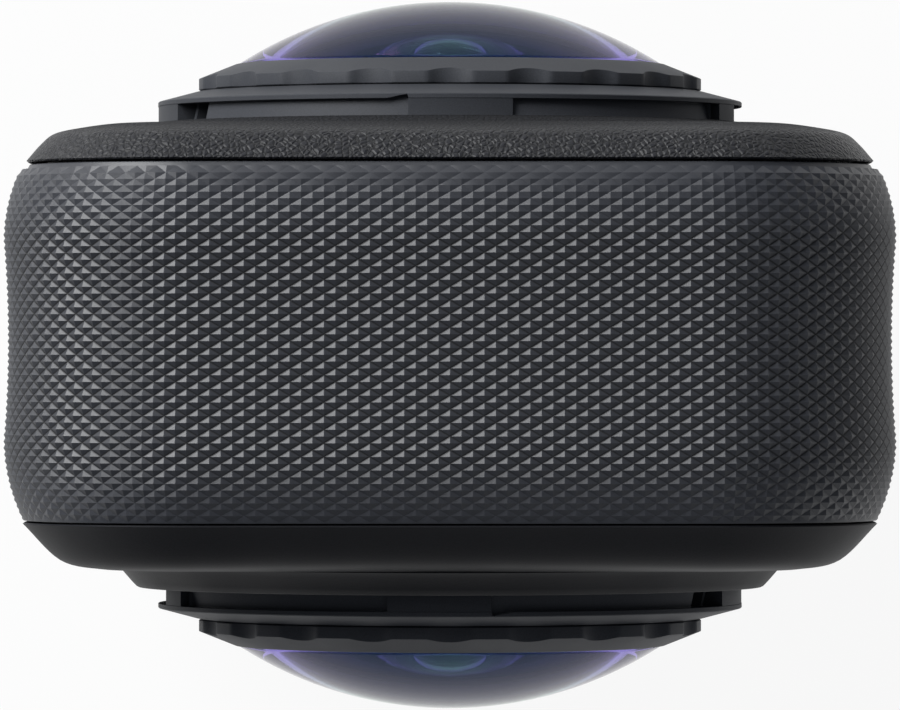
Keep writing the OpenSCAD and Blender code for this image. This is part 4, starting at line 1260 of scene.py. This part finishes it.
# Finishes: dark and light colour, roughness range, grain size and depth, shader constants
MATT = {"Specular_IOR_Level": 0.12}
METAL = {"Metallic": 1.0}
FINISHES = {
    "satin_shell": ("#17181b", "#1d1e22", (0.48, 0.58), 0.09, 0.006, MATT),
    "lens_plastic": ("#34363a", "#3c3e43", (0.5, 0.6), 0.07, 0.003, MATT),
    "barrel_black": ("#08080a", "#0d0d0f", (0.5, 0.65), 0.1, 0.004, {}),
    "seal_rubber": ("#0b0b0b", "#131313", (0.6, 0.8), 0.08, 0.006, {}),
    "button_plastic": ("#2b2d31", "#34363a", (0.38, 0.5), 0.07, 0.004, {}),
    "battery_case": ("#2a2c30", "#323438", (0.45, 0.6), 0.1, 0.006, {}),
    "socket_brass": ("#a8935a", "#c0aa6c", (0.25, 0.4), 0.12, 0.004, METAL),
    "screw_steel": ("#808286", "#96989c", (0.25, 0.38), 0.1, 0.003, METAL),
    "chassis_alloy": ("#85888c", "#969a9e", (0.35, 0.5), 0.15, 0.006, METAL),
    "board_green": ("#173d2b", "#24523b", (0.4, 0.5), 0.3, 0.01, {}),
    "chip_black": ("#131416", "#1b1c1e", (0.5, 0.65), 0.1, 0.006, {}),
    "flex_amber": ("#8f5f22", "#b67d34", (0.3, 0.45), 0.4, 0.006, {}),
    "pad_grey": ("#aeb3b9", "#c2c7cc", (0.7, 0.85), 0.12, 0.01, {}),
    "light_guide": ("#d2d9de", "#e4eaee", (0.2, 0.3), 0.2, 0.002, {}),
}
LOOKS = {slot: grainy(slot, *finish) for slot, finish in FINISHES.items()}
LOOKS["textured_grip"] = grip_look()
LOOKS["leather_grain"] = leather_look()
LOOKS["coated_glass"] = coated_glass_look()
LOOKS["inner_glass"] = inner_glass_look()
LOOKS["screen_glass"] = screen_look()
SLOT_OF = {piece["node"]: piece["material_slot"] for piece in frame["record"]["subparts"]}
for node, obj in frame["nodes"].items():
    obj.data.materials.clear()
    obj.data.materials.append(LOOKS[SLOT_OF[node]])


# Assembly: each new piece stands for one node and rides on its body
def dress(piece, node, body="body"):
    piece.data.materials.clear()
    piece.data.materials.append(LOOKS[SLOT_OF[node]])
    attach(piece, body)
    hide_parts(node)


dress(make_grip_frame(), "grip_frame")
dress(make_front_cover(), "front_cover")
dress(make_rear_cover(), "rear_cover")
dress(make_rear_lens_base(), "rear_lens_base")
dress(make_battery_cover(), "battery_cover", "battery")
dress(make_usb_door(), "usb_door", "connector_door")
dress(make_touchscreen(), "touchscreen_glass")
dress(make_rear_button("shutter_button_dished", -BUTTON_X, ring_mark), "shutter_button", "shutter")
dress(make_rear_button("view_button_dished", BUTTON_X, dot_mark), "view_button", "view")
for body, ringed in (("power", True), ("quick", False)):
    node = body + "_button"
    dress(make_side_button(node + "_pill", node, ringed), node, body)
for body in ("latch_upper", "latch_lower"):
    node = "battery_" + body
    dress(make_latch(body + "_ribbed", node), node, body)
dress(make_base_plate(), "base_plate")
dress(make_base_screws(), "base_screws")
dress(make_tripod_socket(), "tripod_socket")
for side, face in (("front", 1), ("rear", -1)):
    unit = side + "_lens_unit"
    dress(make_bayonet_ring(side + "_bayonet_notched", face), side + "_bayonet_ring")
    dress(make_lens_ring(side + "_ring_scalloped", face), side + "_lens_ring", unit)
    dome = make_dome(side + "_dome_glass", face)
    dress(dome, side + "_lens_dome", unit)
    paint(dome, rim_paint_look(), face, dome_edge)
    second = make_second_element(side + "_second_glass", face)
    dress(second, side + "_second_element")
    paint(second, LOOKS["barrel_black"], face, second_ring)


# Floor, world and lights
FLOOR_HALF = 6.0
FLOOR_GLOW = 0.92
FLOOR_COLOUR = (0.85, 0.85, 0.85, 1.0)
WORLD_COLOUR = (0.18, 0.189, 0.206, 1.0)
TOP = BODY_H * MM


def seen_share(tree):
    """1 for rays from the camera, a reflection or a refraction, else 0."""
    path = add_node(tree, "LightPath")
    share = path.outputs["Is Camera Ray"]
    for ray in ("Is Glossy Ray", "Is Transmission Ray"):
        share = combined(tree, "MAXIMUM", share, path.outputs[ray], "Math")
    return share


def make_floor():
    """Pale floor that looks white and still takes the shadow."""
    mesh = bpy.data.meshes.new("floor")
    corners = [(-FLOOR_HALF, -FLOOR_HALF, 0), (FLOOR_HALF, -FLOOR_HALF, 0),
               (FLOOR_HALF, FLOOR_HALF, 0), (-FLOOR_HALF, FLOOR_HALF, 0)]
    mesh.from_pydata(corners, [], [(0, 1, 2, 3)])
    floor = bpy.data.objects.new("floor", mesh)
    scene.collection.objects.link(floor)
    look = bpy.data.materials.new("floor_look")
    look.use_nodes = True
    tree = look.node_tree
    tree.nodes.remove(tree.nodes["Principled BSDF"])
    paper = add_node(tree, "BsdfDiffuse", Color=FLOOR_COLOUR)
    glow = add_node(tree, "Emission", Color=(1.0, 1.0, 1.0, 1.0), Strength=1.0)
    share = combined(tree, "MULTIPLY", seen_share(tree), FLOOR_GLOW, "Math")
    mix = add_node(tree, "MixShader", Fac=share)
    tree.links.new(paper.outputs[0], mix.inputs[1])
    tree.links.new(glow.outputs[0], mix.inputs[2])
    tree.links.new(mix.outputs[0], tree.nodes["Material Output"].inputs["Surface"])
    mesh.materials.append(look)


def make_world():
    world = bpy.data.worlds.new("studio")
    world.use_nodes = True
    back = world.node_tree.nodes["Background"]
    back.inputs["Color"].default_value = WORLD_COLOUR
    back.inputs["Strength"].default_value = 1.0
    scene.world = world


def add_light(name, place, aim, size, power):
    """A rectangular soft light at a place, in metres, turned to face aim."""
    data = bpy.data.lights.new(name, "AREA")
    data.shape = "RECTANGLE"
    data.size = size[0]
    data.size_y = size[1]
    data.energy = power
    lamp = bpy.data.objects.new(name, data)
    lamp.location = place
    lamp.rotation_euler = (Vector(aim) - Vector(place)).to_track_quat("-Z", "Y").to_euler()
    scene.collection.objects.link(lamp)


make_floor()
make_world()
add_light("key", place=(-0.125, 0.125, TOP + 0.088), aim=(0, 0, TOP), size=(0.16, 0.14), power=0.72)
add_light("fill", place=(0.5, -0.7, TOP + 0.3), aim=(0, 0, TOP / 2), size=(0.6, 0.6), power=0.5)

# Camera straight above the top end, with the front lens up in the picture
IMAGE_W = 900
FOCAL_PIXELS = 7764
CAMERA_ABOVE = 0.390
SENSOR_W = 36.0
camera_data = bpy.data.cameras.new("photo_camera")
camera_data.sensor_fit = "HORIZONTAL"
camera_data.sensor_width = SENSOR_W
camera_data.lens = SENSOR_W * FOCAL_PIXELS / IMAGE_W
camera = bpy.data.objects.new("photo_camera", camera_data)
camera.location = (0, 0, TOP + CAMERA_ABOVE)
scene.collection.objects.link(camera)
scene.camera = camera
scene.view_settings.view_transform = "Standard"
